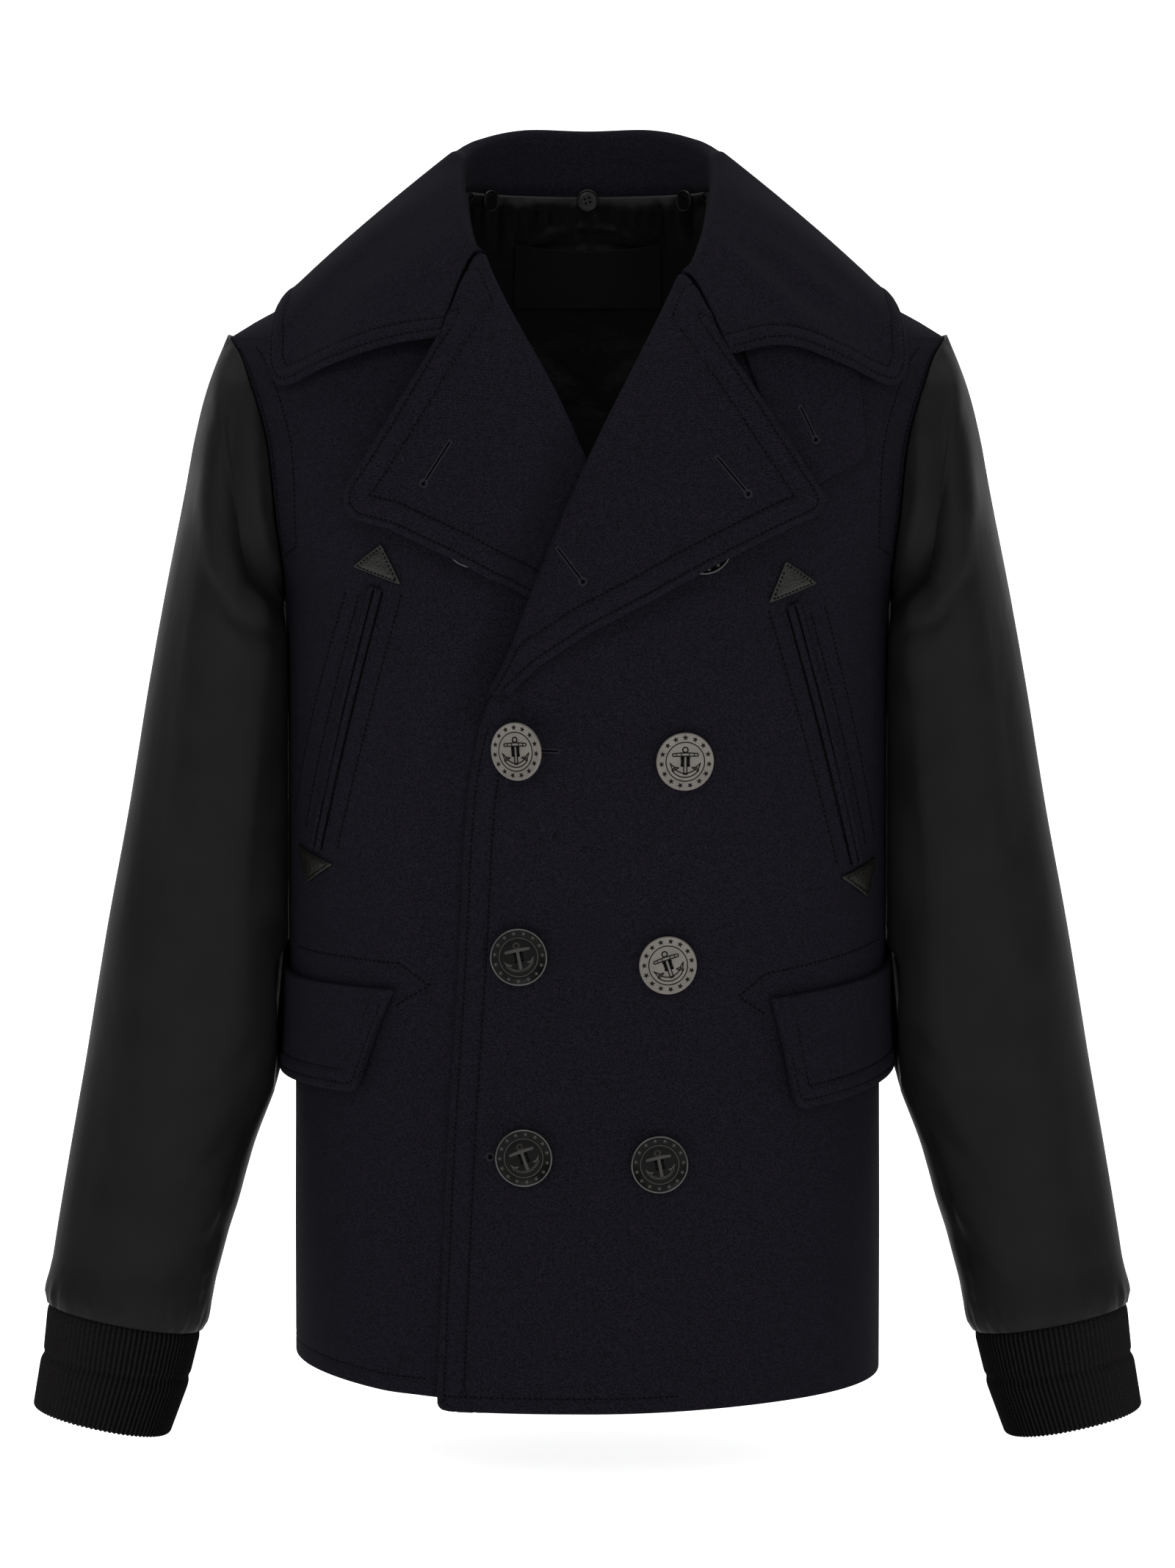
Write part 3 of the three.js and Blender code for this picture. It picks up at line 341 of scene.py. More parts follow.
def mesh_object(name, points, faces, material, uv=None):
    mesh = bpy.data.meshes.new(name)
    mesh.from_pydata((np.asarray(points) * MM).tolist(), [], faces)
    mesh.materials.append(material)
    if uv is not None:
        layer = mesh.uv_layers.new(name="cloth")
        loops = np.empty(len(mesh.loops), int)
        mesh.loops.foreach_get("vertex_index", loops)
        layer.data.foreach_set("uv", np.asarray(uv, np.float32)[loops].ravel())
    mesh.polygons.foreach_set("use_smooth", [True] * len(mesh.polygons))
    mesh.validate()
    obj = bpy.data.objects.new(name, mesh)
    bpy.context.collection.objects.link(obj)
    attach(obj, "root")
    return obj


def lengths_uv(grid):
    """Distances along the grid's rows and columns, in millimetres."""
    across = np.linalg.norm(np.diff(grid, axis=1), axis=-1).mean(0)
    along = np.linalg.norm(np.diff(grid, axis=0), axis=-1).mean(1)
    u = np.concatenate([[0], np.cumsum(across)])
    v = np.concatenate([[0], np.cumsum(along)])
    return np.stack(np.broadcast_arrays(u[None, :], v[:, None]), -1)


def shell(name, outer, thick, material, free="", wrap=False, uv=None, inner=None):
    """A closed wall behind a grid of outer points. Edges named in free (t, b, l, r) are rounded off."""
    rows, cols = outer.shape[:2]
    normals = grid_normals(outer, wrap)
    if inner is None:
        inner = outer - normals * thick
    count = rows * cols
    uv = lengths_uv(outer) if uv is None else uv
    points, uvs = [outer.reshape(-1, 3), inner.reshape(-1, 3)], [uv.reshape(-1, 2)] * 2
    index = np.arange(count).reshape(rows, cols)
    a = index if wrap else index[:, :-1]
    b = np.roll(index, -1, 1) if wrap else index[:, 1:]
    quads = np.stack([a[:-1], b[:-1], b[1:], a[1:]], -1).reshape(-1, 4)
    centre_turn = np.cross(outer[0, 1] - outer[0, 0], outer[1, 0] - outer[0, 0]) @ normals[0, 0]
    if centre_turn < 0:
        quads = quads[:, ::-1]
    faces = [quads, quads[:, ::-1] + count]
    if wrap:
        loops = [[(0, j, "t") for j in range(cols)], [(rows - 1, j, "b") for j in range(cols)]]
    else:
        loops = [[(0, j, "t") for j in range(cols)] + [(i, cols - 1, "r") for i in range(1, rows)]
                 + [(rows - 1, j, "b") for j in range(cols - 2, -1, -1)]
                 + [(i, 0, "l") for i in range(rows - 2, 0, -1)]]
    made = 2 * count
    for loop in loops:
        ii = np.array([i for i, _, _ in loop])
        jj = np.array([j for _, j, _ in loop])
        out_points, in_points = outer[ii, jj], inner[ii, jj]
        away = np.zeros_like(out_points)
        soft = np.zeros(len(loop))
        for k, (i, j, _) in enumerate(loop):
            sides = ("t" if i == 0 else "") + ("b" if i == rows - 1 else "")
            if not wrap:
                sides += ("l" if j == 0 else "") + ("r" if j == cols - 1 else "")
            for side in sides:
                near = {"t": (1, j), "b": (rows - 2, j), "l": (i, 1), "r": (i, cols - 2)}[side]
                away[k] += unit(outer[i, j] - outer[near])
                soft[k] = max(soft[k], 1.0 if side in free else 0.12)
        away = unit(away)
        middle, reach = (out_points + in_points) / 2, (out_points - in_points) / 2
        depth = np.linalg.norm(reach, axis=-1, keepdims=True)
        previous = ii * cols + jj
        for turn in (30, 60, 90, 120, 150):
            c, s = math.cos(math.radians(turn)), math.sin(math.radians(turn))
            points.append(middle + reach * c + away * depth * s * soft[:, None])
            uvs.append(uv[ii, jj])
            ring = made + np.arange(len(loop))
            made += len(loop)
            faces.append(np.stack([previous, ring, np.roll(ring, -1), np.roll(previous, -1)], -1))
            previous = ring
        last = count + ii * cols + jj
        faces.append(np.stack([previous, last, np.roll(last, -1), np.roll(previous, -1)], -1))
    all_faces = np.concatenate(faces).tolist()
    obj = mesh_object(name, np.concatenate(points), all_faces, material, np.concatenate(uvs))
    fix_normals(obj)
    return obj


def fix_normals(obj):
    bm = bmesh.new()
    bm.from_mesh(obj.data)
    bmesh.ops.recalc_face_normals(bm, faces=bm.faces)
    bm.to_mesh(obj.data)
    bm.free()


def near_line(points, line):
    """Distance from each point to a line of points."""
    line = np.asarray(line)
    along = run(line)
    fine = along_line(line, along, np.arange(0, along[-1], 0.8))
    tree = KDTree(len(fine))
    for k, p in enumerate(fine):
        tree.insert(p, k)
    tree.balance()
    return np.array([tree.find(p)[2] for p in points.reshape(-1, 3)]).reshape(points.shape[:-1])


def edge_relief(distance, lines, puff):
    """Height of the cloth beside an edge with rows of stitches pulled into it."""
    relief = puff * smooth(distance, 0, 3) * (1 - smooth(distance, lines[-1][0] - 2, lines[-1][0] + 5))
    for at, depth in lines:
        relief = relief - depth * np.exp(-((distance - at) / 1.3) ** 2)
    return relief


def hem_groove(above):
    """Depth of the groove that the hem's row of stitches pulls into the cloth."""
    return HEM_GROOVE["depth"] * np.exp(-((above - STITCH_ROWS["hem"]) / HEM_GROOVE["width"]) ** 2)


STITCHES = {}


def bead(group, middle, forward, up, length, width, height, lift):
    """One stitch, a small rounded bead of thread."""
    side = unit(np.cross(forward, up))
    profile = [(-0.5, 0.3, 0.1), (-0.32, 1, 0.8), (0, 1, 1), (0.32, 1, 0.8), (0.5, 0.3, 0.1)]
    STITCHES.setdefault(group, []).append(np.array([
        middle + forward * length * a + side * width / 2 * s * w + up * (lift + height * h * r)
        for a, w, h in profile for s, r in ((-1, 0), (-0.6, 0.8), (0.6, 0.8), (1, 0))]))


def stitch(group, line, normals, pitch=3.3, length=2.4, width=1.3, height=0.5, lift=-0.05):
    """Thread laid along a line of points in separate stitches."""
    line, normals = np.asarray(line, float), np.asarray(normals, float)
    along = run(line)
    count = int(along[-1] / pitch)
    at = (np.arange(count) + 0.5) * pitch + RNG.normal(0, 0.1, count)
    middle, up = along_line(line, along, at), unit(along_line(normals, along, at))
    forward = unit(along_line(line, along, at + 0.6) - along_line(line, along, at - 0.6))
    for k in range(count):
        bead(group, middle[k], forward[k], up[k], length, width, height, lift)


def make_stitches(group, name, material):
    beads = STITCHES.get(group, [])
    points = np.concatenate(beads)
    bead_faces = [(k, k + 1, k + 5, k + 4) for r in range(4) for k in range(r * 4, r * 4 + 3)]
    bead_faces += [(0, 4, 8, 12, 16, 19, 15, 11, 7, 3), (0, 3, 2, 1), (16, 17, 18, 19)]
    faces = [tuple(k * 20 + v for v in face) for k in range(len(beads)) for face in bead_faces]
    return mesh_object(name, points, faces, material)


# Materials

def colour(hex_value):
    """A display colour as the linear values that the nodes take."""
    parts = [int(hex_value[k:k + 2], 16) / 255 for k in (1, 3, 5)]
    return [(c / 12.92 if c <= 0.04045 else ((c + 0.055) / 1.055) ** 2.4) for c in parts] + [1.0]


class Nodes:
    """A material's node tree with short calls."""

    def __init__(self, name, roughness=0.8, **sockets):
        self.material = bpy.data.materials.new(name)
        self.material.use_nodes = True
        self.tree = self.material.node_tree
        self.shader = self.tree.nodes["Principled BSDF"]
        self.shader.inputs["Roughness"].default_value = roughness
        for socket, value in sockets.items():
            self.shader.inputs[socket.replace("_", " ")].default_value = value

    def node(self, kind, values=(), **settings):
        made = self.tree.nodes.new(kind)
        for key, value in settings.items():
            setattr(made, key, value)
        for key, value in dict(values).items():
            if isinstance(value, bpy.types.NodeSocket):
                self.tree.links.new(value, made.inputs[key])
            else:
                made.inputs[key].default_value = value
        return made

    def uv(self, scale=(1, 1, 1), turn=0.0):
        made = self.node("ShaderNodeUVMap", uv_map="cloth")
        return self.node("ShaderNodeMapping", {"Vector": made.outputs[0], "Scale": scale,
                                               "Rotation": (0, 0, turn)}).outputs[0]

    def place(self, scale=1.0):
        made = self.node("ShaderNodeTexCoord")
        return self.node("ShaderNodeMapping", {"Vector": made.outputs["Object"],
                                               "Scale": (scale, scale, scale)}).outputs[0]

    def noise(self, vector, scale, detail=3.0, rough=0.55):
        return self.node("ShaderNodeTexNoise", {"Vector": vector, "Scale": scale, "Detail": detail,
                                                "Roughness": rough}).outputs["Fac"]

    def wave(self, vector, scale, distortion=0.0, direction="X"):
        return self.node("ShaderNodeTexWave", {"Vector": vector, "Scale": scale, "Distortion": distortion,
                                               "Detail": 1.0, "Detail Scale": 2.0},
                         bands_direction=direction).outputs["Fac"]

    def maths(self, operation, a, b=0.0):
        return self.node("ShaderNodeMath", {0: a, 1: b}, operation=operation).outputs[0]

    def mix(self, fac, a, b):
        made = self.node("ShaderNodeMix", data_type="RGBA")
        for socket, value in ((made.inputs[0], fac), (made.inputs[6], a), (made.inputs[7], b)):
            if isinstance(value, bpy.types.NodeSocket):
                self.tree.links.new(value, socket)
            else:
                socket.default_value = value
        return made.outputs[2]

    def spread(self, value, low, high):
        return self.node("ShaderNodeMapRange", {"Value": value, "To Min": low, "To Max": high}).outputs[0]

    def clear(self, value, low, high):
        """A value's middle range stretched to run from 0 to 1."""
        return self.node("ShaderNodeMapRange", {"Value": value, "From Min": low, "From Max": high}).outputs[0]

    def bump(self, height, distance, strength=1.0):
        made = self.node("ShaderNodeBump", {"Height": height, "Distance": distance, "Strength": strength})
        self.tree.links.new(made.outputs[0], self.shader.inputs["Normal"])

    def set(self, socket, value):
        self.tree.links.new(value, self.shader.inputs[socket])


def wool_material():
    n = Nodes("navy_wool", 0.95, Sheen_Weight=0.015, Sheen_Roughness=0.5, Specular_IOR_Level=0.03,
              Sheen_Tint=colour("#8f90a8"))
    place = n.place(1000)
    twill = n.wave(n.uv((1, 1, 1), math.radians(-52)), 0.2, 2.2)
    felt = n.clear(n.noise(place, 1.0, 2), 0.4, 0.6)
    speckle = n.clear(n.noise(place, 2.1, 2), 0.4, 0.6)
    patch = n.noise(place, 0.02, 2)
    grain = n.maths("ADD", n.maths("MULTIPLY", twill, 0.15), n.maths("MULTIPLY", felt, 0.5))
    grain = n.maths("ADD", grain, n.maths("MULTIPLY", speckle, 0.35))
    base = n.mix(n.clear(grain, 0.12, 0.88), colour("#060608"), colour("#1d1b22"))
    n.set("Base Color", n.mix(n.maths("MULTIPLY", patch, 0.2), base, colour("#121117")))
    n.set("Roughness", n.spread(felt, 0.88, 1.0))
    n.bump(grain, 0.0006, 0.8)
    return n.material


def satin_material():
    n = Nodes("black_satin", 0.42, Specular_IOR_Level=0.05, Anisotropic=0.3)
    place = n.place(1000)
    threads = n.wave(n.uv((1, 1, 1)), 0.9, 0.3, "Y")
    broad = n.noise(place, 0.03, 2)
    wrinkle = n.noise(n.uv((0.06, 0.012, 1)), 1.0, 3)
    n.set("Base Color", n.mix(broad, colour("#0e0f0e"), colour("#181918")))
    n.set("Roughness", n.spread(n.maths("ADD", n.maths("MULTIPLY", threads, 0.4), broad), 0.38, 0.58))
    n.bump(n.maths("ADD", n.maths("MULTIPLY", threads, 0.03), n.maths("MULTIPLY", wrinkle, 1.0)), 0.0009, 0.5)
    return n.material


def knit_material():
    n = Nodes("rib_knit", 0.95, Sheen_Weight=0.02, Sheen_Roughness=0.5, Specular_IOR_Level=0.04)
    place = n.place(1000)
    rib = n.wave(n.uv(), math.pi / 10)
    loops = n.wave(n.uv(), 0.16, 0.6, "Y")
    fuzz = n.clear(n.noise(place, 1.3, 3), 0.35, 0.65)
    height = n.maths("ADD", n.maths("MULTIPLY", loops, 0.4), n.maths("MULTIPLY", fuzz, 0.6))
    # Colour darkens in the valleys between the ribs: painted shade; the loops and fuzz vary it as the yarn's
    # own tone.
    valley_shade_and_fuzz = n.maths("MULTIPLY", rib, n.spread(height, 0.45, 1.0))
    n.set("Base Color", n.mix(valley_shade_and_fuzz, colour("#010101"), colour("#1d1b1b")))
    n.bump(height, 0.0006, 0.9)
    return n.material


def leather_material():
    n = Nodes("black_leather", 0.3, Specular_IOR_Level=0.22)
    place = n.place(1000)
    cells = n.node("ShaderNodeTexVoronoi", {"Vector": place, "Scale": 0.8}).outputs["Distance"]
    fine = n.noise(place, 0.35, 3)
    grain = n.maths("ADD", n.maths("MULTIPLY", cells, 0.5), n.maths("MULTIPLY", fine, 0.6))
    n.set("Base Color", n.mix(grain, colour("#090908"), colour("#171614")))
    n.set("Roughness", n.spread(grain, 0.16, 0.5))
    n.bump(grain, 0.0005, 0.8)
    return n.material


def horn_material(name, low, high, gloss, level, metal=0.0):
    n = Nodes(name, gloss, Metallic=metal, Specular_IOR_Level=level)
    place = n.place(1000)
    cloud = n.noise(place, 0.12, 3)
    scratch = n.noise(place, 1.8, 2)
    n.set("Base Color", n.mix(cloud, colour(low), colour(high)))
    n.set("Roughness", n.spread(scratch, gloss - 0.08, gloss + 0.12))
    n.bump(scratch, 0.00004, 0.5)
    return n.material


def thread_material(name, low, high):
    n = Nodes(name, 0.8, Specular_IOR_Level=0.06)
    place = n.place(1000)
    twist = n.noise(place, 2.2, 2)
    n.set("Base Color", n.mix(twist, colour(low), colour(high)))
    n.bump(twist, 0.0001, 0.6)
    return n.material


def lining_material():
    n = Nodes("quilted_satin", 0.4, Specular_IOR_Level=0.2)
    place = n.place(1000)
    crease = n.noise(place, 0.06, 3)
    threads = n.wave(n.uv(), 1.2, 0.2, "X")
    cloud = n.noise(place, 0.05, 3)
    n.set("Base Color", n.mix(cloud, colour("#060607"), colour("#0c0c0d")))
    n.set("Roughness", n.spread(cloud, 0.34, 0.5))
    n.bump(n.maths("ADD", n.maths("MULTIPLY", threads, 0.03), crease), 0.0025, 0.6)
    return n.material


def label_material():
    n = Nodes("label_tape", 0.7, Specular_IOR_Level=0.15)
    weave = n.wave(n.uv(), 0.5, 0.0, "X")
    cross = n.wave(n.uv(), 0.5, 0.0, "Y")
    height = n.maths("MULTIPLY", weave, cross)
    n.set("Base Color", n.mix(height, colour("#020203"), colour("#060607")))
    n.bump(height, 0.0003, 0.6)
    return n.material


# Near-black cloth that paints the shade in slits, holes and beside the welts.
def slit_shade_material():
    n = Nodes("slit_shadow", 0.95, Specular_IOR_Level=0.02)
    n.set("Base Color", n.mix(n.noise(n.place(1000), 1.0), colour("#010101"), colour("#040405")))
    return n.material


WOOL_LOOK, SATIN_LOOK, KNIT_LOOK = wool_material(), satin_material(), knit_material()
LEATHER_LOOK, LINING_LOOK, LABEL_LOOK = leather_material(), lining_material(), label_material()
GREY_HORN = horn_material("grey_horn", "#514e4a", "#696560", 0.45, 0.25)
DARK_CUT = horn_material("dark_engraving", "#050505", "#0d0c0c", 0.7, 0.1)
BLACK_HORN = horn_material("black_horn", "#020202", "#060605", 0.3, 0.08)
BLACK_RELIEF = horn_material("black_relief", "#1b1a19", "#302e2b", 0.34, 0.25)
# The black buttons' rim is coloured lighter than their face: a painted highlight, on top of its gloss.
BLACK_RIM_HIGHLIGHT = horn_material("black_rim_highlight", "#1c1b1a", "#33312f", 0.22, 0.5)
THIN_HORN = horn_material("neck_button_horn", "#040404", "#0d0c0c", 0.3, 0.15)
# The topstitching thread is coloured near black, darker than the wool: navy thread with the painted shade of
# the rows pulled into the cloth.
SHADED_NAVY_THREAD = thread_material("navy_thread_painted_shade", "#000001", "#040405")
BLACK_THREAD = thread_material("black_thread", "#010101", "#040404")
SILK_THREAD = thread_material("silk_thread", "#18171c", "#2e2d34")
SLIT_SHADE = slit_shade_material()


# Body panels

def girth_at(angle, z):
    """Distance round the cloth from the middle of the front to an angle of the front half."""
    at = girth_level(z)
    k = at.astype(int)
    share = at - k
    turn = np.clip(np.abs(angle - math.pi / 2) / (math.pi / 2 / GIRTH_TURNS), 0, GIRTH_TURNS - 0.001)
    m = turn.astype(int)
    part = turn - m
    low = GIRTH[k, m] * (1 - part) + GIRTH[k, m + 1] * part
    high = GIRTH[k + 1, m] * (1 - part) + GIRTH[k + 1, m + 1] * part
    return (low * (1 - share) + high * share) * np.where(angle > math.pi / 2, -1, 1)


PANEL_Z = np.concatenate([
    np.linspace(-9, -81, 19), ARM_Z + ARM_HALF * np.cos(np.radians(np.linspace(0, 180, 41))),
    np.linspace(-262, -700, 92), [-706, -712, -718, -722, -726, -728.5, -730, -731, -732],
    [-734, -736, -737.6, -738.8, -739.6, HEM_Z]])
NEAR_EDGE = np.array([0, 1.2, 2.4, 3.2, 4, 4.8, 6, 8, 10.5, 13, 14.5, 15.3, 16, 16.7, 17.5, 19, 22])


def column_distances(total, near, count):
    """Distances from an edge: near ones fixed, the rest even; squeezed where the panel is narrow."""
    near = np.asarray(near, float)
    rest = near[-1] + (total[:, None] - near[-1]) * (np.arange(1, count + 1) / count)
    fixed = np.concatenate([np.broadcast_to(near, (len(total), len(near))), rest], 1)
    share = np.linspace(0, 1, fixed.shape[1])[None, :] * total[:, None]
    return np.where(total[:, None] > 3 * near[-1], fixed, share)


def over_front():
    z = np.concatenate([[-1.5], PANEL_Z])
    side = angle_at_depth(side_depth(z, True), z)
    gap = np.where(z > OVER_LAPEL["roll"][0], NECK_SEAM, SEAM)
    below = np.clip(CORNER - (z - HEM_Z), 0, CORNER)
    gap = gap + CORNER - np.sqrt(CORNER ** 2 - below ** 2)
    edge = angle_at_x(over_edge(z) + gap, z)
    start, end = girth_at(edge, z), girth_at(side, z)
    distance = column_distances(end - start, NEAR_EDGE, 44)
    angle = angle_at_girth(start[:, None] + distance, z[:, None])
    angle[:, -1] = side
    height = np.broadcast_to(z[:, None], angle.shape)
    flat = hang(angle, height, 0.0, "over")
    inner = hang(angle, height, -WOOL, "over")
    low = z < -318
    edge_line = flat[low, 0]
    hem_line = flat[-1, :]
    beside = near_line(flat, edge_line)
    above = near_line(flat, hem_line)
    relief = edge_relief(beside, **EDGES["front"]) * smooth(-height, 300, 330)
    relief = relief - hem_groove(above) * smooth(flat[..., 0], 72, 60)
    outer = hang(angle, height, relief, "over")
    obj = shell("coat_front_over", outer, WOOL, WOOL_LOOK, "lb", inner=inner)
    return obj, outer, beside, above


def under_front():
    z = np.concatenate([[-1.5], PANEL_Z])
    side = math.pi - angle_at_depth(side_depth(z, True), z)
    gap = np.where(z > UNDER_LAPEL["roll"][0], NECK_SEAM, SEAM)
    end = angle_at_x(under_edge(z) - gap, z)
    start, stop = girth_at(side, z), girth_at(end, z)
    share = np.linspace(0, 1, 84)[None, :]
    angle = angle_at_girth(start[:, None] + (stop - start)[:, None] * share, z[:, None])
    angle[:, 0] = side
    height = np.broadcast_to(z[:, None], angle.shape)
    back = step_back(skin(angle, height)[..., 0], height)
    flat = hang(angle, height, -back, "under")
    inner = hang(angle, height, -back - WOOL, "under")
    above = near_line(flat, flat[-1, :])
    outer = hang(angle, height, -back - hem_groove(above), "under")
    obj = shell("coat_front_under", outer, WOOL, WOOL_LOOK, "rb", inner=inner)
    return obj, outer, above


def back_panel():
    z = np.concatenate([[NECK_Z], PANEL_Z])
    side = angle_at_depth(side_depth(z, False), z)
    share = np.linspace(0, 1, 84)[None, :]
    angle = side[:, None] + (-math.pi - 2 * side)[:, None] * share
    height = np.broadcast_to(z[:, None], angle.shape)
    outer = hang(angle, height, 0.0, "back")
    inner = hang(angle, height, -WOOL, "back")
    obj = shell("coat_back", outer, WOOL, WOOL_LOOK, "b", inner=inner)
    return obj


FRONT_OVER, OVER_GRID, OVER_BESIDE, OVER_ABOVE = over_front()
FRONT_UNDER, UNDER_GRID, UNDER_ABOVE = under_front()
BACK = back_panel()


# Lapels

def lapel_points(rows, roll_line, sign, depth, thickness, count, across):
    rows = sampled(rows, count)
    roll, edge, z = rows["roll"], rows["edge"], rows["z"]
    slope = (roll_line(roll + 1) - roll_line(roll - 1)) / 2
    length = np.hypot(1, slope)
    out_x, out_z = sign / length, -sign * slope / length
    roll_x = roll_line(roll)
    radius = LAPEL_ROLL - thickness

    def at(x, height, out):
        return at_x(x, height, out - depth(x, height))
    turned = []
    for degrees in (0, 20, 40, 60, 80, 100, 120, 140, 160, 180):
        angle = math.radians(degrees)
        reach = -ROLL_SEAM - radius * math.sin(angle)
        turned.append(at(roll_x + out_x * reach, roll + out_z * reach,
                         np.full(count, LAPEL_MID - radius * math.cos(angle))))
    breadth = np.minimum(1, np.hypot(edge - roll_x, z - roll) / LAPEL_FREE)
    for t in across:
        x, height = roll_x + (edge - roll_x) * t, roll + (z - roll) * t
        lift = LAPEL_LIFT * breadth * t ** LAPEL_RISE * uncovered(x, height, sign)
        turned.append(at(x, height, LAPEL_MID + radius + lift))
    return np.stack(turned, 1)


def lapel(name, rows, roll_line, sign, depth):
    across = np.concatenate([np.linspace(0.05, 0.8, 26), np.linspace(0.815, 1, 20)])
    outer = lapel_points(rows, roll_line, sign, depth, 0.0, 150, across)
    inner = lapel_points(rows, roll_line, sign, depth, COLLAR_WOOL, 150, across)
    free = outer[:, -1]
    beyond = free[0] + (free[0] - free[4]) / np.linalg.norm(free[0] - free[4]) * 40
    distance = near_line(outer, np.concatenate([[beyond], free]))
    distance[:, :10] = FAR
    outer = outer + grid_out(outer) * edge_relief(distance, **EDGES["front"])[..., None]
    obj = shell(name, outer, COLLAR_WOOL, WOOL_LOOK, "r", inner=inner)
    return obj, outer, distance


def grid_out(grid):
    """Normals of a grid on the front, turned so that they look away from the body."""
    normals = grid_normals(grid)
    middle = normals[grid.shape[0] // 2, -3]
    return normals * (-1 if middle[1] > 0 else 1)


LAPEL_OVER, LAPEL_OVER_GRID, LAPEL_OVER_FREE = lapel(
    "coat_lapel_over", OVER_LAPEL, over_edge, 1, no_step)
LAPEL_UNDER, LAPEL_UNDER_GRID, LAPEL_UNDER_FREE = lapel(
    "coat_lapel_under", UNDER_LAPEL, under_edge, -1, step_back)


def fold(points, line, depth, width, front=True):
    """A soft crease along a line given as x and z on one face of a piece."""
    line = np.asarray(line, float)
    along, steps = run(line), 60
    fine = along_line(line, along, np.linspace(0, along[-1], steps))
    gap = np.linalg.norm(points[..., None, ::2] - fine, axis=-1)
    nearest = gap.argmin(-1)
    taper = np.sin(math.pi * (nearest + 2) / (steps + 4)) ** 0.6
    facing = smooth(-points[..., 1] if front else points[..., 1], -10, 25)
    return depth * taper * np.exp(-(gap.min(-1) / width) ** 2) * facing


# Collar

def collar_section(row, fall):
    seam, crest, end = (np.array(row[k], float) for k in ("foot", "top", "edge"))
    roll, bulge = row["roll"], row["bulge"]
    up = unit(crest - seam)
    drop = end - crest
    out = unit(drop - up * (drop @ up))
    turn = math.acos(np.clip(up @ unit(drop), -1, 1)) - math.radians(bulge)
    start = crest - up * roll
    centre = start + out * roll

    def on_roll(angle):
        return centre - out * roll * math.cos(angle) + up * roll * math.sin(angle)
    leave = on_roll(turn)
    heading = out * math.sin(turn) + up * math.cos(turn)
    control = leave + heading * np.linalg.norm(leave - end) / 2
    stand = [seam + (start - seam) * t for t in np.linspace(0, 1, 5)]
    rolled = [on_roll(turn * t) for t in np.linspace(0, 1, 9)[1:]]
    falling = [leave * (1 - t) ** 2 + control * 2 * t * (1 - t) + end * t * t for t in fall]
    return np.array(stand + rolled + falling)


def front_section(row, line, lapel_rows, side):
    z = lapel_rows["roll"][0] * row["down"]
    foot = at_x(line(z) - side * SEAM * 3, z, COLLAR_LAY)
    base = foot if side > 0 else foot * (-1, 1, 1)
    return dict(foot=base, top=base + np.array(row["rise"]), edge=row["edge"], roll=row["roll"],
                bulge=row["bulge"])


def catmull(rows, at):
    """Smooth curves through rows of points, at places from 0 to 1."""
    rows = np.asarray(rows)
    ends = np.concatenate([[2 * rows[0] - rows[1]], rows, [2 * rows[-1] - rows[-2]]])
    place = np.clip(np.asarray(at) * (len(rows) - 1), 0, len(rows) - 1 - 1e-9)
    result = []
    for p in place:
        k = int(p)
        t = p - k
        p0, p1, p2, p3 = ends[k:k + 4]
        d0, d1, d2 = (np.maximum(np.linalg.norm(b - a, axis=-1, keepdims=True), 1e-6) ** 0.5
                      for a, b in ((p0, p1), (p1, p2), (p2, p3)))
        m1 = ((p1 - p0) / d0 - (p2 - p0) / (d0 + d1) + (p2 - p1) / d1) * d1
        m2 = ((p2 - p1) / d1 - (p3 - p1) / (d1 + d2) + (p3 - p2) / d2) * d1
        result.append((2 * t ** 3 - 3 * t ** 2 + 1) * p1 + (t ** 3 - 2 * t ** 2 + t) * m1
                      + (-2 * t ** 3 + 3 * t ** 2) * p2 + (t ** 3 - t ** 2) * m2)
    return np.array(result)


def end_row(lapel_rows, line, sign, depth, next_row, fall_count):
    """The collar's end, which runs beside the top of a lapel."""
    across = [0.16, 0.32, 0.48, 0.64, 0.82, 1]
    lapel_top = lapel_points(lapel_rows, line, sign, depth, 0.0, 40, across)[0]
    keep = np.array([0, 1.4, 3.75, 6.25, 9, 10, 11, 12, 13, 14, 15])
    coarse = np.stack([np.interp(keep, np.arange(16), lapel_top[:, k]) for k in range(3)], -1)
    marks = np.array([0, 2, 4, 6.67, 9.33, 12, 12 + fall_count * 0.15, 12 + fall_count * 0.3,
                      12 + fall_count * 0.48, 12 + fall_count * 0.7, 12 + fall_count])
    places = np.arange(13 + fall_count)
    end = np.stack([np.interp(places, marks, coarse[:, k]) for k in range(3)], -1)
    before = np.concatenate([[end[0]], end[:-1]])
    after = np.concatenate([end[1:], [end[-1]]])
    along = unit(after - before)
    away = next_row - end
    away = unit(away - along * (away * along).sum(-1, keepdims=True))
    share = np.linspace(0, 1, len(end))[:, None]
    return end + away * (COLLAR_RISE + (SEAM * 2 - COLLAR_RISE) * share)


COLLAR_CREASES = [
    ([(76, -30), (104, -58), (130, -84)], 2.2, 6),
    ([(92, -30), (118, -54), (146, -80)], -1.9, 6),
    ([(112, -34), (138, -58), (168, -78)], 1.8, 6),
    ([(96, -84), (126, -98), (160, -102)], 1.3, 6),
    ([(-112, -52), (-136, -64), (-158, -82)], 1.2, 6)]


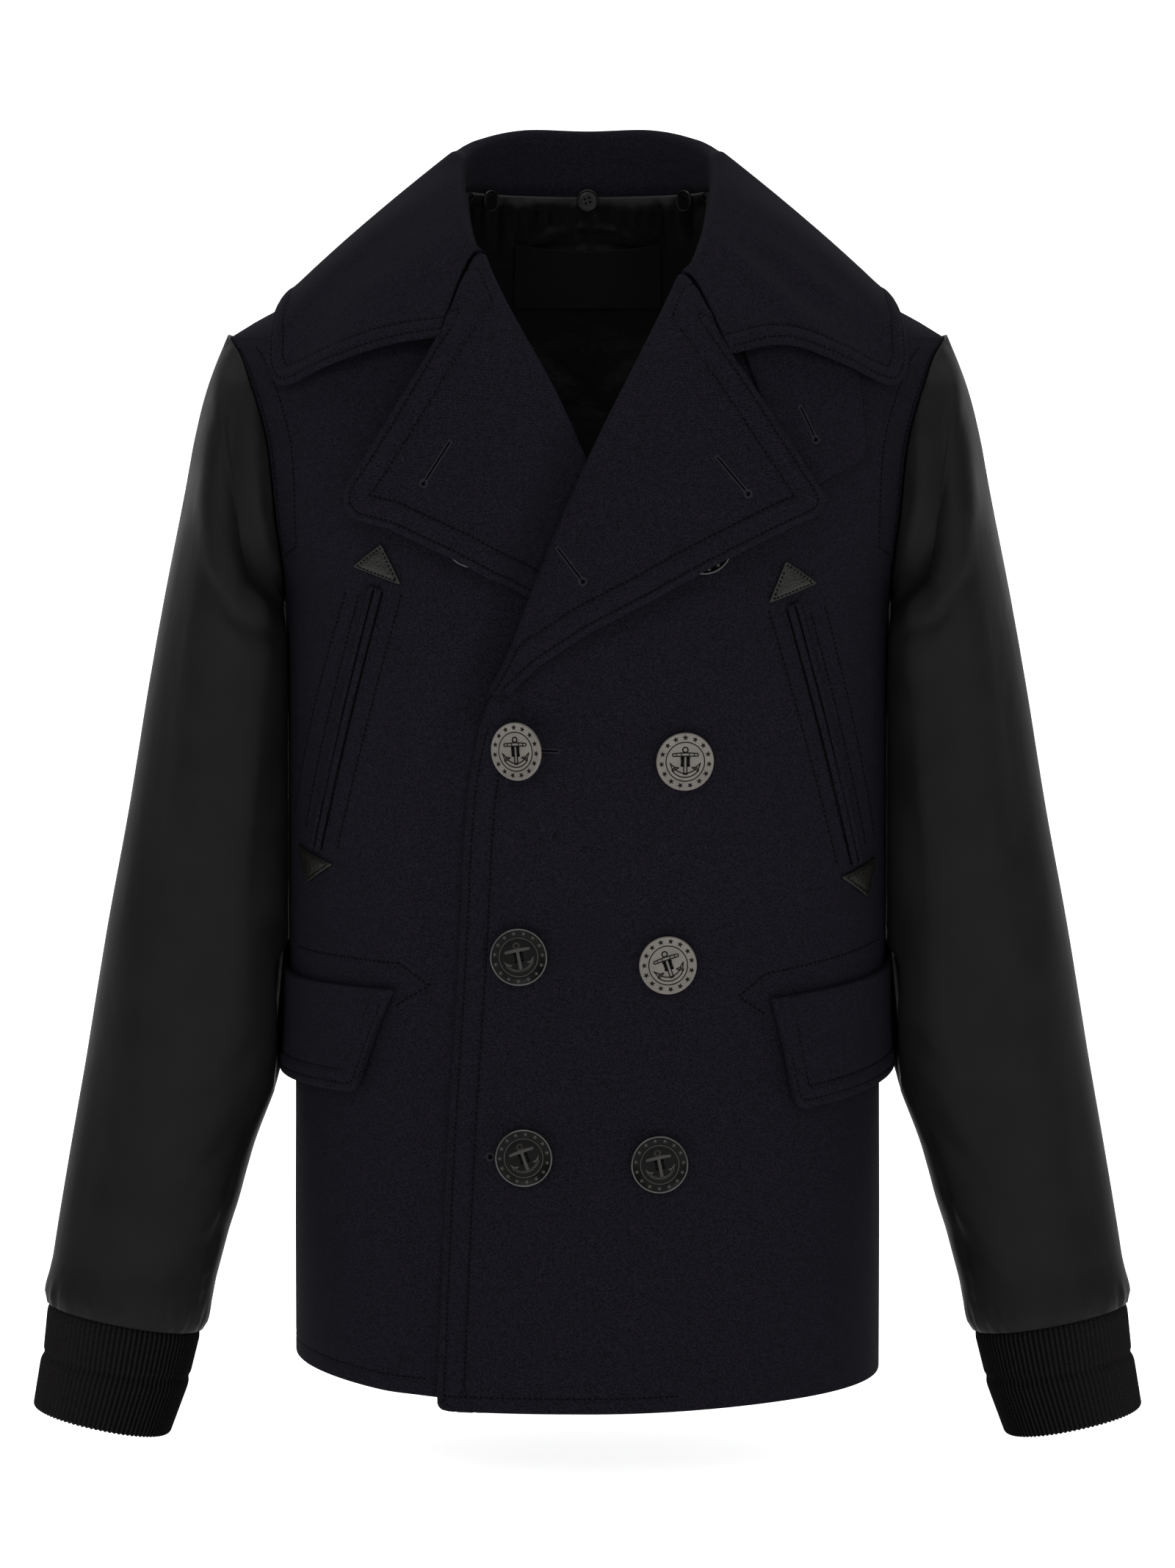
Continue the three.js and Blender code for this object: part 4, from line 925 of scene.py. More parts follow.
def collar():
    fall = np.concatenate([np.linspace(0.04, 0.78, 22), np.linspace(0.8, 1, 14)])
    behind = [collar_section(row, fall) for row in COLLAR_BACK]
    left = [collar_section(front_section(row, over_edge, OVER_LAPEL, 1), fall) for row in COLLAR_FRONT]
    right = [collar_section(front_section(row, under_edge, UNDER_LAPEL, -1), fall) for row in COLLAR_FRONT]
    flip = np.array([-1, 1, 1])
    count = len(fall)
    first = end_row(UNDER_LAPEL, under_edge, -1, step_back, right[-1] * flip, count)
    last = end_row(OVER_LAPEL, over_edge, 1, no_step, left[-1], count)
    rows = [first] + [section * flip for section in (behind[1:] + right)[::-1]] + behind + left + [last]
    face = catmull(rows, np.linspace(0, 1, 201))
    normals = grid_normals(face)
    under = face - normals * COLLAR_WOOL
    if (under[100, 20] - face[100, 20])[1] > 0:
        under = face + normals * COLLAR_WOOL
        normals = -normals
    distance = near_line(face, face[:, -1])
    distance[:, :14] = FAR
    relief = edge_relief(distance, **EDGES["collar"])
    for line, depth, width in COLLAR_CREASES:
        relief = relief + fold(face, line, depth, width)
    outer = face + normals * relief[..., None]
    obj = shell("coat_collar", outer, COLLAR_WOOL, WOOL_LOOK, "r", inner=under)
    return obj, outer, distance


COLLAR, COLLAR_GRID, COLLAR_FREE = collar()


# Pieces laid on the body

def laid_grid(corners, rows, columns, out):
    """A four-cornered patch of points, laid on the cloth at a height above it."""
    a, b, c, d = (np.array(p, float) for p in corners)
    v, u = np.meshgrid(rows, columns, indexing="ij")
    top = a + (b - a) * u[..., None]
    low = d + (c - d) * u[..., None]
    place = top + (low - top) * v[..., None]
    return cloth(place[..., 0], place[..., 1], out)


def throat_tab():
    corners = [TAB["top_in"], TAB["top_out"], TAB["end_out"], TAB["end_in"]]
    steps = np.linspace(0, 1, 40)
    outer = laid_grid(corners, steps, steps, TAB_LAY + TAB_WOOL)
    inner = laid_grid(corners, steps, steps, TAB_LAY)
    low = np.concatenate([outer[:, 0], outer[-1], outer[::-1, -1]])
    distance = near_line(outer, low)
    outer = outer + grid_out(outer) * edge_relief(distance, **EDGES["tab"])[..., None]
    return shell("coat_throat_tab", outer, TAB_WOOL, WOOL_LOOK, "lrb", inner=inner)


def flap(name, row):
    along = np.concatenate([np.linspace(0, 0.1, 14), np.linspace(0.12, 1, 50)])
    down = np.linspace(0, 1, 44)
    side, length = row["side"], row["top_end"][0] - row["top"][0]
    v, u = np.meshgrid(down, along, indexing="ij")
    inset = np.clip(FLAP_CORNER - u * length, 0, None)
    cut = FLAP_CORNER - np.sqrt(np.maximum(FLAP_CORNER ** 2 - inset ** 2, 0))
    upper = row["top"][1] + (row["top_end"][1] - row["top"][1]) * u
    lower = row["bottom"][1] + (row["bottom_end"][1] - row["bottom"][1]) * u + cut
    top_w = row["top"][0] + (row["top_end"][0] - row["top"][0]) * u
    low_w = row["bottom"][0] + (row["bottom_end"][0] - row["bottom"][0]) * u
    across, height = side * (top_w + (low_w - top_w) * v), upper + (lower - upper) * v
    lift = (FLAP_LIFT["front"] + (FLAP_LIFT["side"] - FLAP_LIFT["front"]) * u) * v
    lift = lift + FLAP_LIFT["flare"] * (u * v) ** 2
    outer = cloth(across, height, LAY + FLAP_WOOL + lift)
    inner = cloth(across, height, LAY + lift)
    rim = np.concatenate([outer[:, 0], outer[-1]])
    distance = near_line(outer, rim)
    normals = cloth_normal(across, height)
    outer = outer + normals * edge_relief(distance, **EDGES["flap"])[..., None]
    obj = shell(name, outer, FLAP_WOOL, WOOL_LOOK, "lb", inner=inner)
    return obj, outer, distance


TAB_PIECE = throat_tab()
FLAP_PIECES = [flap("coat_flap_" + ("right" if row["side"] < 0 else "left"), row) for row in FLAPS]


def lip(name, pocket, place):
    start, end = np.array(pocket["start"], float), np.array(pocket["end"], float)
    direction = unit(end - start)
    across = np.array([-direction[1], direction[0]])
    near, far = place * SEAM, place * (SEAM + WELT_WIDTH)
    flip = np.array([pocket["side"], 1])
    corners = [(p + across * s) * flip for p, s in ((start, near), (start, far), (end, far), (end, near))]
    rows, columns = np.linspace(0, 1, 90), np.linspace(0, 1, 12)
    crown = 0.3 - 1.2 * np.abs(2 * columns - 1) ** 2.5
    outer = laid_grid(corners, rows, columns, LAY + WELT_WOOL + crown)
    inner = laid_grid(corners, rows, columns, LAY)
    return shell(name, outer, WELT_WOOL, WOOL_LOOK, "lrtb", inner=inner)


def patch_outline(corners, radius=2.0):
    """A triangle's outline with rounded corners, evenly spaced."""
    corners = np.array(corners, float)
    points = []
    for k in range(3):
        before, here, after = corners[k - 1], corners[k], corners[(k + 1) % 3]
        a, b = here + unit(before - here) * radius, here + unit(after - here) * radius
        for t in np.linspace(0, 1, 6):
            points.append(a * (1 - t) ** 2 + here * 2 * t * (1 - t) + b * t * t)
    points = np.array(points + [points[0]])
    along = run(points)
    return along_line(points, along, np.linspace(0, along[-1], 91)[:-1])


def patch(name, corners, side):
    outline = patch_outline(corners)
    middle = np.mean(np.array(corners, float), 0)
    rings = [1.0, 0.985, 0.95, 0.88, 0.8, 0.7, 0.55, 0.4, 0.25, 0.1]
    out = [0.55, 1.1, 1.4, 1.45, 1.25, 1.45, 1.6, 1.7, 1.75, 1.78]
    places = [middle + (outline - middle) * r for r in rings]
    bottom = [cloth(side * p[:, 0], p[:, 1], np.full(len(p), LAY)) for p in (places[0], places[5])]
    layers = [cloth(side * p[:, 0], p[:, 1], np.full(len(p), LAY + h)) for p, h in zip(places, out)]
    count = len(outline)
    grids = [bottom[1], bottom[0]] + layers
    points = np.concatenate(grids)
    faces = []
    for r in range(len(grids) - 1):
        for k in range(count):
            n = (k + 1) % count
            faces.append((r * count + k, r * count + n, (r + 1) * count + n, (r + 1) * count + k))
    faces.append(tuple(range(count))[::-1])
    faces.append(tuple((len(grids) - 1) * count + k for k in range(count)))
    flat = np.concatenate([places[5], places[0]] + places)
    obj = mesh_object(name, points, faces, LEATHER_LOOK, flat)
    fix_normals(obj)
    ring = middle + (outline - middle) * 0.8
    ring = np.concatenate([ring, ring[:1]])
    line = cloth(side * ring[:, 0], ring[:, 1], np.full(len(ring), LAY + 1.25))
    stitch("leather", line, cloth_normal(side * ring[:, 0], ring[:, 1]), 2.7, 1.6, 1.3, 0.35, 0.1)
    return obj


POCKET_PIECES = []
for pocket in POCKETS:
    end = "right" if pocket["side"] < 0 else "left"
    POCKET_PIECES += [
        *((lip(f"coat_welt_{place}_{end}", pocket, sign), f"chest_lip_{place}_{end}", "wool")
          for place, sign in (("inner", -1), ("outer", 1))),
        *((patch(f"coat_patch_{place}_{end}", pocket[place], pocket["side"]),
           f"chest_patch_{place}_{end}", "leather") for place in ("upper", "lower"))]


# Sleeves and cuffs

def ring(rows, angles, thick=0.0, grow=0.0):
    """Rings of a tube from its outer and under edges."""
    rows = {k: v[:, None] for k, v in rows.items()}
    mid_x, mid_z = (rows["outX"] + rows["inX"]) / 2, (rows["outZ"] + rows["inZ"]) / 2
    reach_x, reach_z = (rows["outX"] - rows["inX"]) / 2, (rows["outZ"] - rows["inZ"]) / 2
    length = np.hypot(reach_x, reach_z)
    swell = grow - thick
    along = signed_power(np.cos(angles), 2 / SLEEVE_POWER) * (length + swell)
    across = signed_power(np.sin(angles), 2 / SLEEVE_POWER) * (rows["depth"] + swell)
    return np.stack([mid_x + reach_x * along / length, rows["y"] - across,
                     mid_z + reach_z * along / length], -1)


def sleeve_head(angles, inset=-1.5):
    reach = np.where(np.sin(angles) > 0, ARM_FRONT, ARM_BACK)
    y = ARM_Y - (reach - inset) * np.sin(angles)
    z = ARM_Z + (ARM_HALF - inset) * np.cos(angles)
    return body(angle_at_depth(y, z), z, HEAD_LAY)


def even_angles(count):
    """Angles that space the points of the oval evenly."""
    fine = np.linspace(0, 2 * math.pi, 2001)
    x = signed_power(np.cos(fine), 2 / SLEEVE_POWER)
    y = signed_power(np.sin(fine), 2 / SLEEVE_POWER)
    along = np.concatenate([[0], np.cumsum(np.hypot(np.diff(x), np.diff(y)))])
    return np.interp(np.arange(count) / count * along[-1], along, fine)


def sleeve(name, side):
    angles = even_angles(132)
    rings = np.concatenate([[sleeve_head(angles)], ring(SLEEVE, angles)])
    outer = catmull(rings, np.linspace(0, 1, 170))
    normals = grid_normals(outer, True)
    if normals[80, 0, 0] < 0:
        normals = -normals
    outer = outer + normals * sleeve_folds(outer)[..., None]
    outer = leaning(outer, normals)
    turned = grid_normals(outer, True)
    inner = outer - turned * SLEEVE_CLOTH * np.sign((normals[80, 0] * turned[80, 0]).sum())
    if side < 0:
        outer, inner = outer * (-1, 1, 1), inner * (-1, 1, 1)
    return shell(name, outer, SLEEVE_CLOTH, SATIN_LOOK, "", True, inner=inner)


def leaning(points, normals):
    """The side of the sleeve that faces the body, let down on it before and behind the side seam."""
    y, z = points[..., 1], points[..., 2]
    depth = np.where(y < 0, front_depth(z), back_depth(z))
    oval_z = oval(z)
    side = half(z) * np.clip(1 - (np.abs(y) / depth) ** oval_z, 0, None) ** (1 / oval_z)
    over_flap = smooth(z, -466, -478) * (1 - smooth(z, -552, -580)) * smooth(-y, -20, 0)
    target = side + SLEEVE_LEAN["gap"] + SLEEVE_LEAN["over_flap"] * over_flap
    weight = smooth(-normals[..., 0], 0.15, 0.6) * smooth(-z, 238, 256) * (1 - smooth(z, -530, -600))
    weight = weight * (1 - smooth(np.abs(y), 62, 74))
    pulled = points.copy()
    pulled[..., 0] -= weight * np.clip(points[..., 0] - target, 0, SLEEVE_LEAN["most"])
    return pulled


SLEEVE_CREASES = [
    ([(218, -128), (218, -165), (210, -215), (192, -268)], -6.5, 7),
    ([(210, -196), (200, -228), (191, -262)], -4.0, 5),
    ([(203, -140), (202, -190), (194, -240)], 3.2, 6),
    ([(230, -140), (233, -190), (224, -240), (203, -300)], 2.4, 8),
    ([(232, -236), (216, -262), (198, -276)], -3.4, 5),
    ([(193, -470), (199, -530), (207, -568), (225, -625), (243, -700)], -1.6, 1.8),
    ([(241, -172), (250, -250), (259, -320), (268, -400), (276, -470)], -2.0, 9),
    ([(262, -200), (270, -300), (283, -400), (300, -520)], 1.4, 14),
    ([(196, -330), (207, -400), (216, -460)], -2.2, 8),
    ([(236, -400), (246, -470), (262, -560)], -1.5, 12),
    ([(292, -480), (302, -560), (314, -640), (322, -684)], -1.2, 9),
    ([(205, -520), (226, -545), (245, -556)], -2.2, 6),
    ([(212, -570), (232, -600), (250, -612)], -1.8, 6),
    ([(226, -640), (240, -662), (256, -676)], -2.4, 6),
    ([(222, -622), (240, -640), (262, -650)], 1.4, 6)]


def sleeve_folds(points):
    """Creases, puckers and a soft roll above the cuff, and gathers at the armhole."""
    total = np.zeros(points.shape[:-1])
    for line, depth, width in SLEEVE_CREASES:
        total += fold(points, line, depth, width)
        total += fold(points, line, depth, width, front=False)
    share = np.linspace(0, 1, points.shape[0])[:, None]
    around = np.linspace(0, 2 * math.pi, points.shape[1], endpoint=False)[None, :]
    pucker = np.sin(around * 23 + 3 * np.sin(around * 3)) * 0.7 + np.sin(around * 37 + 1) * 0.4
    total += pucker * smooth(share, 0.955, 0.99) * (1 - 0.6 * smooth(share, 0.992, 1))
    total += 1.6 * smooth(share, 0.93, 0.98) * (1 - smooth(share, 0.985, 1))
    gather = np.sin(around * 17) * 0.5 + np.sin(around * 29 + 2) * 0.35
    total += gather * (1 - smooth(share, 0.0, 0.05)) * 0.6
    return total * smooth(share, 0, 0.012)


def cuff(name, side):
    """Rib knit folded double, its ribs raised on the outside alone."""
    angles = even_angles(CUFF_RIBS * RIB_POINTS)
    rows = sampled(CUFF, 34)
    share = np.linspace(0, 1, 34)[:, None]
    around = np.arange(CUFF_RIBS * RIB_POINTS)[None, :] / RIB_POINTS
    rib = 0.5 + 0.5 * np.cos(2 * math.pi * around)
    band = 0.9 * smooth(share, 0.5, 0.6) - 0.9 * np.exp(-((share - 0.5) / 0.03) ** 2)
    ends = -1.0 * (1 - smooth(share, 0, 0.1))
    outer = ring(rows, angles, 0.0, rib * RIB_HEIGHT + band + ends)
    inner = ring(rows, angles, CUFF_KNIT, -0.2 * rib)
    uv = np.stack(np.broadcast_arrays(around + 0.25, share * CUFF_LENGTH), -1)
    if side < 0:
        outer, inner = outer * (-1, 1, 1), inner * (-1, 1, 1)
    return shell(name, outer, CUFF_KNIT, KNIT_LOOK, "b", True, uv=uv, inner=inner)


SLEEVES = {end: sleeve(f"coat_sleeve_{end}", side) for end, side in (("left", 1), ("right", -1))}
CUFFS = {end: cuff(f"coat_cuff_{end}", side) for end, side in (("left", 1), ("right", -1))}


# Buttons

def star(cx, cy, size, turn):
    return [(cx + size * (1 if k % 2 == 0 else 0.42) * math.sin(turn + k * math.pi / 5),
             cy + size * (1 if k % 2 == 0 else 0.42) * math.cos(turn + k * math.pi / 5)) for k in range(10)]


def arc(cx, cy, radius, low, high, count=14):
    turns = np.radians(np.linspace(low, high, count))
    return [(cx + radius * math.cos(t), cy + radius * math.sin(t)) for t in turns]


def strokes(line, width, closed=False):
    """Narrow four-sided pieces along a drawn line."""
    line = list(line) + ([line[0]] if closed else [])
    pieces = []
    for (ax, ay), (bx, by) in zip(line[:-1], line[1:]):
        length = math.hypot(bx - ax, by - ay)
        sx, sy = -(by - ay) / length * width / 2, (bx - ax) / length * width / 2
        ex, ey = (bx - ax) / length * width * 0.3, (by - ay) / length * width * 0.3
        pieces.append([(ax + sx - ex, ay + sy - ey), (ax - sx - ex, ay - sy - ey),
                       (bx - sx + ex, by - sy + ey), (bx + sx + ex, by + sy + ey)])
    return pieces


def anchor_parts():
    """A plain stocked anchor, drawn as closed outlines."""
    stock = [(-7.4, 3.3), (7.4, 3.3), (7.9, 4.1), (7.4, 4.9), (1.6, 5.3), (-1.6, 5.3), (-7.4, 4.9),
             (-7.9, 4.1)]
    shank = [(-0.9, 3.3), (0.9, 3.3), (1.0, -7.6), (-1.0, -7.6)]
    arms = arc(0, 0.4, 9.8, 214, 326, 18) + arc(0, 1.6, 8.6, 322, 218, 18)
    fluke = [(-9.3, -0.9), (-7.4, -5.6), (-4.0, -3.6), (-6.6, -3.3)]
    return stock, shank, arms, [fluke, [(-x, y) for x, y in fluke[::-1]]]


def motif(drawn):
    """Ring of stars round an anchor: drawn in lines, or standing in relief."""
    far, size = MOTIF["star_ring"], 2.0 if drawn else 1.5
    turns = [k * 2 * math.pi / MOTIF["stars"] for k in range(MOTIF["stars"])]
    stars = [star(far * math.sin(turn), far * math.cos(turn), size, turn) for turn in turns]
    circle = strokes(arc(0, 0, MOTIF["circle"], 0, 354, 60), 0.6, True)
    eye = strokes(arc(0, 7.1, 1.6, 0, 340, 18), 0.75 if drawn else 0.9, True)
    stock, shank, arms, flukes = anchor_parts()
    shapes = stars + circle + eye
    if drawn:
        for outline in (stock, shank, arms, *flukes):
            shapes += strokes(outline, 0.65, True)
        for x in (-5.4, -2.4, 2.4, 5.4):
            shapes += strokes([(x, 3.4), (x, 5.0)], 0.5)
        return shapes
    return shapes + [stock, shank] + strokes(arc(0, 1.0, 9.2, 216, 324, 16), 1.5) + flukes


def frame_at(seat, normal, turn=0.0, up=(0, 0, 1)):
    z_axis = Vector(normal).normalized()
    x_axis = Vector(up).cross(z_axis).normalized()
    y_axis = z_axis.cross(x_axis)
    c, s = math.cos(turn), math.sin(turn)
    x_turned, y_turned = x_axis * c + y_axis * s, y_axis * c - x_axis * s
    rotation = Matrix((x_turned, y_turned, z_axis)).transposed()
    return lambda p: np.array(rotation @ Vector(p)) + np.array(seat)


def prisms(shapes, low, high, place, points, faces, uv):
    """Flat shapes raised from one height to another; returns how many faces were made."""
    start = len(faces)
    for shape in shapes:
        base, m = len(points), len(shape)
        for height in (low, high):
            for x, y in shape:
                points.append(place((x, y, height)))
                uv.append((x, y))
        faces += [(base + k, base + (k + 1) % m, base + m + (k + 1) % m, base + m + k) for k in range(m)]
        faces.append(tuple(base + m + k for k in range(m)))
        faces.append(tuple(base + k for k in range(m))[::-1])
    return len(faces) - start


def turned_disc(profile, place, count, points, faces, uv):
    for radius, height in profile:
        for k in range(count):
            a = 2 * math.pi * k / count
            points.append(place((radius * math.cos(a), radius * math.sin(a), height)))
            uv.append((radius * math.cos(a), radius * math.sin(a)))
    for i in range(len(profile) - 1):
        for k in range(count):
            n = (k + 1) % count
            faces.append((i * count + k, i * count + n, (i + 1) * count + n, (i + 1) * count + k))
    faces.append(tuple(range(count))[::-1])
    faces.append(tuple((len(profile) - 1) * count + k for k in range(count)))


def coat_button(name, seat, normal, grey, turn, stand):
    r, top = BUTTON["radius"], stand + BUTTON["thick"]
    floor = top - (0.2 if grey else 0.45)
    profile = [(BUTTON["shank"] * 0.45, 0), (BUTTON["shank"] * 0.38, stand), (r - 2.6, stand),
               (r - 1.0, stand + 0.5),
               (r - 0.2, stand + 1.3), (r, top - 1.2), (r - 0.15, top - 0.5), (r - 0.45, top - 0.1),
               (r - 0.8, top), (r - 1.1, top - 0.04), (r - 1.5, floor), (12.4, floor), (12.1, floor - 0.12),
               (11.6, floor - 0.12), (11.2, floor - 0.05), (6.0, floor - 0.25), (0.5, floor - 0.3)]
    place = frame_at(seat, normal, math.radians(turn))
    points, faces, uv = [], [], []
    count = 96
    turned_disc(profile, place, count, points, faces, uv)
    rim_faces = range(6 * count, 9 * count)
    marks = [4 if k in rim_faces else 0 for k in range(len(faces))]
    rise = 0.06 if grey else 0.35
    marks += [1] * prisms(motif(grey), floor - 0.7, floor - 0.05 + rise, place, points, faces, uv)
    # The thread holes take the slit shade material: painted shade in the holes.
    holes = [arc(x, y, 1.0, 0, 330, 12) for x in (-1.9, 1.9) for y in (-2.1, 2.1)]
    marks += [2] * prisms(holes, floor - 0.8, floor + rise + 0.04, place, points, faces, uv)
    strand = [(-0.5, -2.1), (0.6, -2.1), (0.75, 0), (0.6, 2.1), (-0.6, 2.1), (-0.75, 0)]
    threads = [[(x + a, b) for a, b in strand] for x in (-1.9, 1.9)]
    marks += [3] * prisms(threads, floor - 0.8, floor + rise + 0.3, place, points, faces, uv)
    obj = mesh_object(name, np.array(points), faces, GREY_HORN if grey else BLACK_HORN, uv)
    # On the black buttons the rim's rounded top takes a lighter colour: painted highlight.
    relief, rim = (DARK_CUT, GREY_HORN) if grey else (BLACK_RELIEF, BLACK_RIM_HIGHLIGHT)
    for material in (relief, SLIT_SHADE, BLACK_THREAD, rim):
        obj.data.materials.append(material)
    obj.data.polygons.foreach_set("material_index", marks)
    obj.data.polygons.foreach_set("use_smooth", [mark in (0, 4) for mark in marks])
    return obj


BUTTON_PIECES = []
for name, across, z, side_turn, grey, lean in FRONT_BUTTONS:
    aside = math.sin(math.radians(side_turn))
    across, z = np.array(across, float), np.array(z, float)
    seat = cloth(across, z, BUTTON_LAY + BUTTON["shank"] * aside)
    normal = np.array(Matrix.Rotation(math.radians(-side_turn), 3, "Z") @ Vector(cloth_normal(across, z)))
    stand = BUTTON["stand"] + (BUTTON["radius"] - BUTTON["shank"]) * aside
    BUTTON_PIECES.append((coat_button("coat_" + name, seat, normal, grey, lean, stand), name))


def neck_button(name, angle, z, forward, out):
    seat = skin(math.radians(angle), NECK_Z).copy()
    seat[2] = z
    inward = unit(np.array([-seat[0], -seat[1], 0.0]))
    face = unit(np.array([-seat[0] * forward, -seat[1], 0.0]))
    place = frame_at(seat + inward * (COLLAR_WOOL + out + 0.6), face, math.radians(18))
    r, t = NECK_BUTTON["radius"], NECK_BUTTON["thick"]
    profile = [(r - 1.0, 0), (r - 0.2, 0.5), (r, t * 0.55), (r - 0.2, t - 0.25), (r - 0.55, t),
               (r - 0.95, t - 0.05),
               (r - 1.4, t - 0.6), (r - 1.8, t - 0.62), (r - 2.05, t - 0.5), (2.6, t - 0.75), (0.4, t - 0.8)]
    points, faces, uv = [], [], []
    turned_disc(profile, place, 64, points, faces, uv)
    marks = [0] * len(faces)
    # The holes take the slit shade material: painted shade in the holes.
    holes = [arc(x, y, 0.75, 0, 330, 12) for x in (-1.4, 1.4) for y in (-1.4, 1.4)]
    marks += [1] * prisms(holes, t - 1.2, t - 0.66, place, points, faces, uv)
    obj = mesh_object(name, np.array(points), faces, THIN_HORN, uv)
    obj.data.materials.append(SLIT_SHADE)
    obj.data.polygons.foreach_set("material_index", marks)
    return obj


NECK_PIECES = [(neck_button("coat_" + row[0], *row[1:]), row[0]) for row in NECK_BUTTONS]


# Lining and label

def puffed(x, z):
    u, v = (x + z) / LINING["diamond"], (x - z) / LINING["diamond"]
    return LINING["puff"] * np.sqrt(np.abs(np.sin(math.pi * u) * np.sin(math.pi * v)))


def lining():
    """Quilted cloth, gathered into the neck seam and sewn down the middle."""
    z = np.concatenate([[0, -0.8, -1.6], np.linspace(LINING["top"], -60, 50),
                        np.linspace(-63, LINING["bottom"], 54)])
    side = angle_at_depth(np.maximum(LINING["side"], side_depth(z, False) + 12), z)
    share = np.linspace(0, 1, 150)[None, :]
    angle = side[:, None] + (-math.pi - 2 * side)[:, None] * share
    height = np.broadcast_to(z[:, None], angle.shape)
    base = skin(angle, height)
    back = -WOOL - LINING_LAY
    x, depth = base[..., 0], -height
    near = 1 - smooth(depth, 8, 42)
    pleat = np.sin(x * 0.27 + 1.8 * np.sin(x * 0.11)) + 0.5 * np.sin(x * 0.62 + 1)
    swag = sum(np.exp(-((depth - middle - curl * x ** 2) / width) ** 2)
               for middle, curl, width in ((15, 0.008, 3.5), (31, 0.006, 4)))
    swag = swag * (1 - smooth(np.abs(x), 28, 46))
    relief = 1.2 * pleat * near * smooth(depth, 0, 6) * (1 - 0.5 * swag) + 2.2 * swag
    relief = relief + puffed(x, height) * smooth(depth, 40, 75) - 1.3 * np.exp(-(x / 1.6) ** 2)
    inside = body(angle, height, back - LINING_CLOTH - np.clip(relief, -1.2, 2.6))
    outside = body(angle, height, np.full(angle.shape, back))
    rim = skin(angle[0], 0.0)
    for row, (shrink, lift) in enumerate(((0.6, 0.2), (2.4, -0.3), (4.0, -1.8))):
        level = rim * (1 - shrink / np.linalg.norm(rim[:, :2], axis=-1))[:, None]
        inside[row], outside[row] = level + (0, 0, lift + 0.3), level * (1.012, 1.012, 1) + (0, 0, lift - 0.9)
    return shell("coat_lining", inside, LINING_CLOTH, LINING_LOOK, "tb", inner=outside)


def label():
    z = np.linspace(LABEL["top"], LABEL["bottom"], 30)
    x = np.linspace(-LABEL["half"], LABEL["half"], 60)
    height, across = np.meshgrid(z, x, indexing="ij")
    sag = LABEL["sag"] * (1 - (across / LABEL["half"]) ** 2)
    height = height - sag * (height - LABEL["bottom"]) / (LABEL["top"] - LABEL["bottom"])
    seat = -WOOL - LINING_LAY - LINING_CLOTH - LINING["puff"] - LAY
    angle = -angle_at_x(across, height)
    inside = body(angle, height, np.full(angle.shape, seat - LABEL_CLOTH))
    outside = body(angle, height, np.full(angle.shape, seat))
    return shell("coat_label", inside, LABEL_CLOTH, LABEL_LOOK, "tblr", inner=outside)


LINING_PIECE, LABEL_PIECE = lining(), label()


# Stitching

def iso_line(grid, distance, at, normals):
    """Where a distance is met on each row, coming in from the last column."""
    points, ups = [], []
    for row, values, up in zip(grid, distance, normals):
        values = values[::-1]
        over = np.nonzero(values >= at)[0]
        if not len(over) or over[0] == 0:
            continue
        k = over[0]
        t = (at - values[k - 1]) / max(values[k] - values[k - 1], 1e-6)
        a, b = len(values) - k, len(values) - 1 - k
        points.append(row[a] * (1 - t) + row[b] * t)
        ups.append(up[b])
    return np.array(points), np.array(ups)


for grid, distance in ((LAPEL_OVER_GRID, LAPEL_OVER_FREE), (LAPEL_UNDER_GRID, LAPEL_UNDER_FREE)):
    ups = grid_out(grid)
    for at in STITCH_ROWS["front"]:
        stitch("wool", *iso_line(grid, distance, at, ups))

collar_up = grid_normals(COLLAR_GRID)
if collar_up[100, 25][1] < 0:
    collar_up = -collar_up
for at in STITCH_ROWS["collar"]:
    stitch("wool", *iso_line(COLLAR_GRID, COLLAR_FREE, at, collar_up))

over_up = grid_out(OVER_GRID)
low_part = OVER_GRID[:, 0, 2] < STITCHING_STARTS_Z
near_part = [values[low_part][:, :30][:, ::-1] for values in (OVER_GRID, OVER_BESIDE, over_up)]
for at in STITCH_ROWS["front"]:
    points, ups = iso_line(near_part[0], near_part[1], at, near_part[2])
    keep = points[:, 2] > HEM_Z + (9 if at > 10 else 2)
    stitch("wool", points[keep], ups[keep])

for _, grid, distance in FLAP_PIECES:
    ups = grid_out(grid)
    for at in STITCH_ROWS["flap"]:
        stitch("wool", *iso_line(np.swapaxes(grid, 0, 1), distance.T, at, np.swapaxes(ups, 0, 1)))

for pocket in POCKETS:
    for a, b in pocket["rows"]:
        t = np.linspace(0, 1, 60)
        w = pocket["side"] * (a[0] + (b[0] - a[0]) * t)
        z = a[1] + (b[1] - a[1]) * t
        stitch("wool", cloth(w, z, np.full(60, 0.1)), cloth_normal(w, z))


def surface(obj):
    """Finds the front face of a piece at an x and z."""
    tree = BVHTree.FromPolygons([v.co for v in obj.data.vertices],
                                [tuple(f.vertices) for f in obj.data.polygons])

    def on(x, z):
        place, normal, _, _ = tree.ray_cast(Vector((x * MM, -0.5, z * MM)), Vector((0, 1, 0)))
        normal = normal if normal.y < 0 else -normal
        return np.array(place) / MM, np.array(normal)
    return on


def on_line(on, start, end, count=30):
    """Points and normals on a surface along a line in distance round the cloth and height."""
    t = np.linspace(0, 1, count)
    across, z = start[0] + (end[0] - start[0]) * t, start[1] + (end[1] - start[1]) * t
    found = [on(x, h) for x, h in zip(cloth(across, z)[:, 0], z)]
    return np.array([place for place, _ in found]), np.array([normal for _, normal in found])


# Outlines of the plates of painted shade.
SHADE_OUTLINES = []


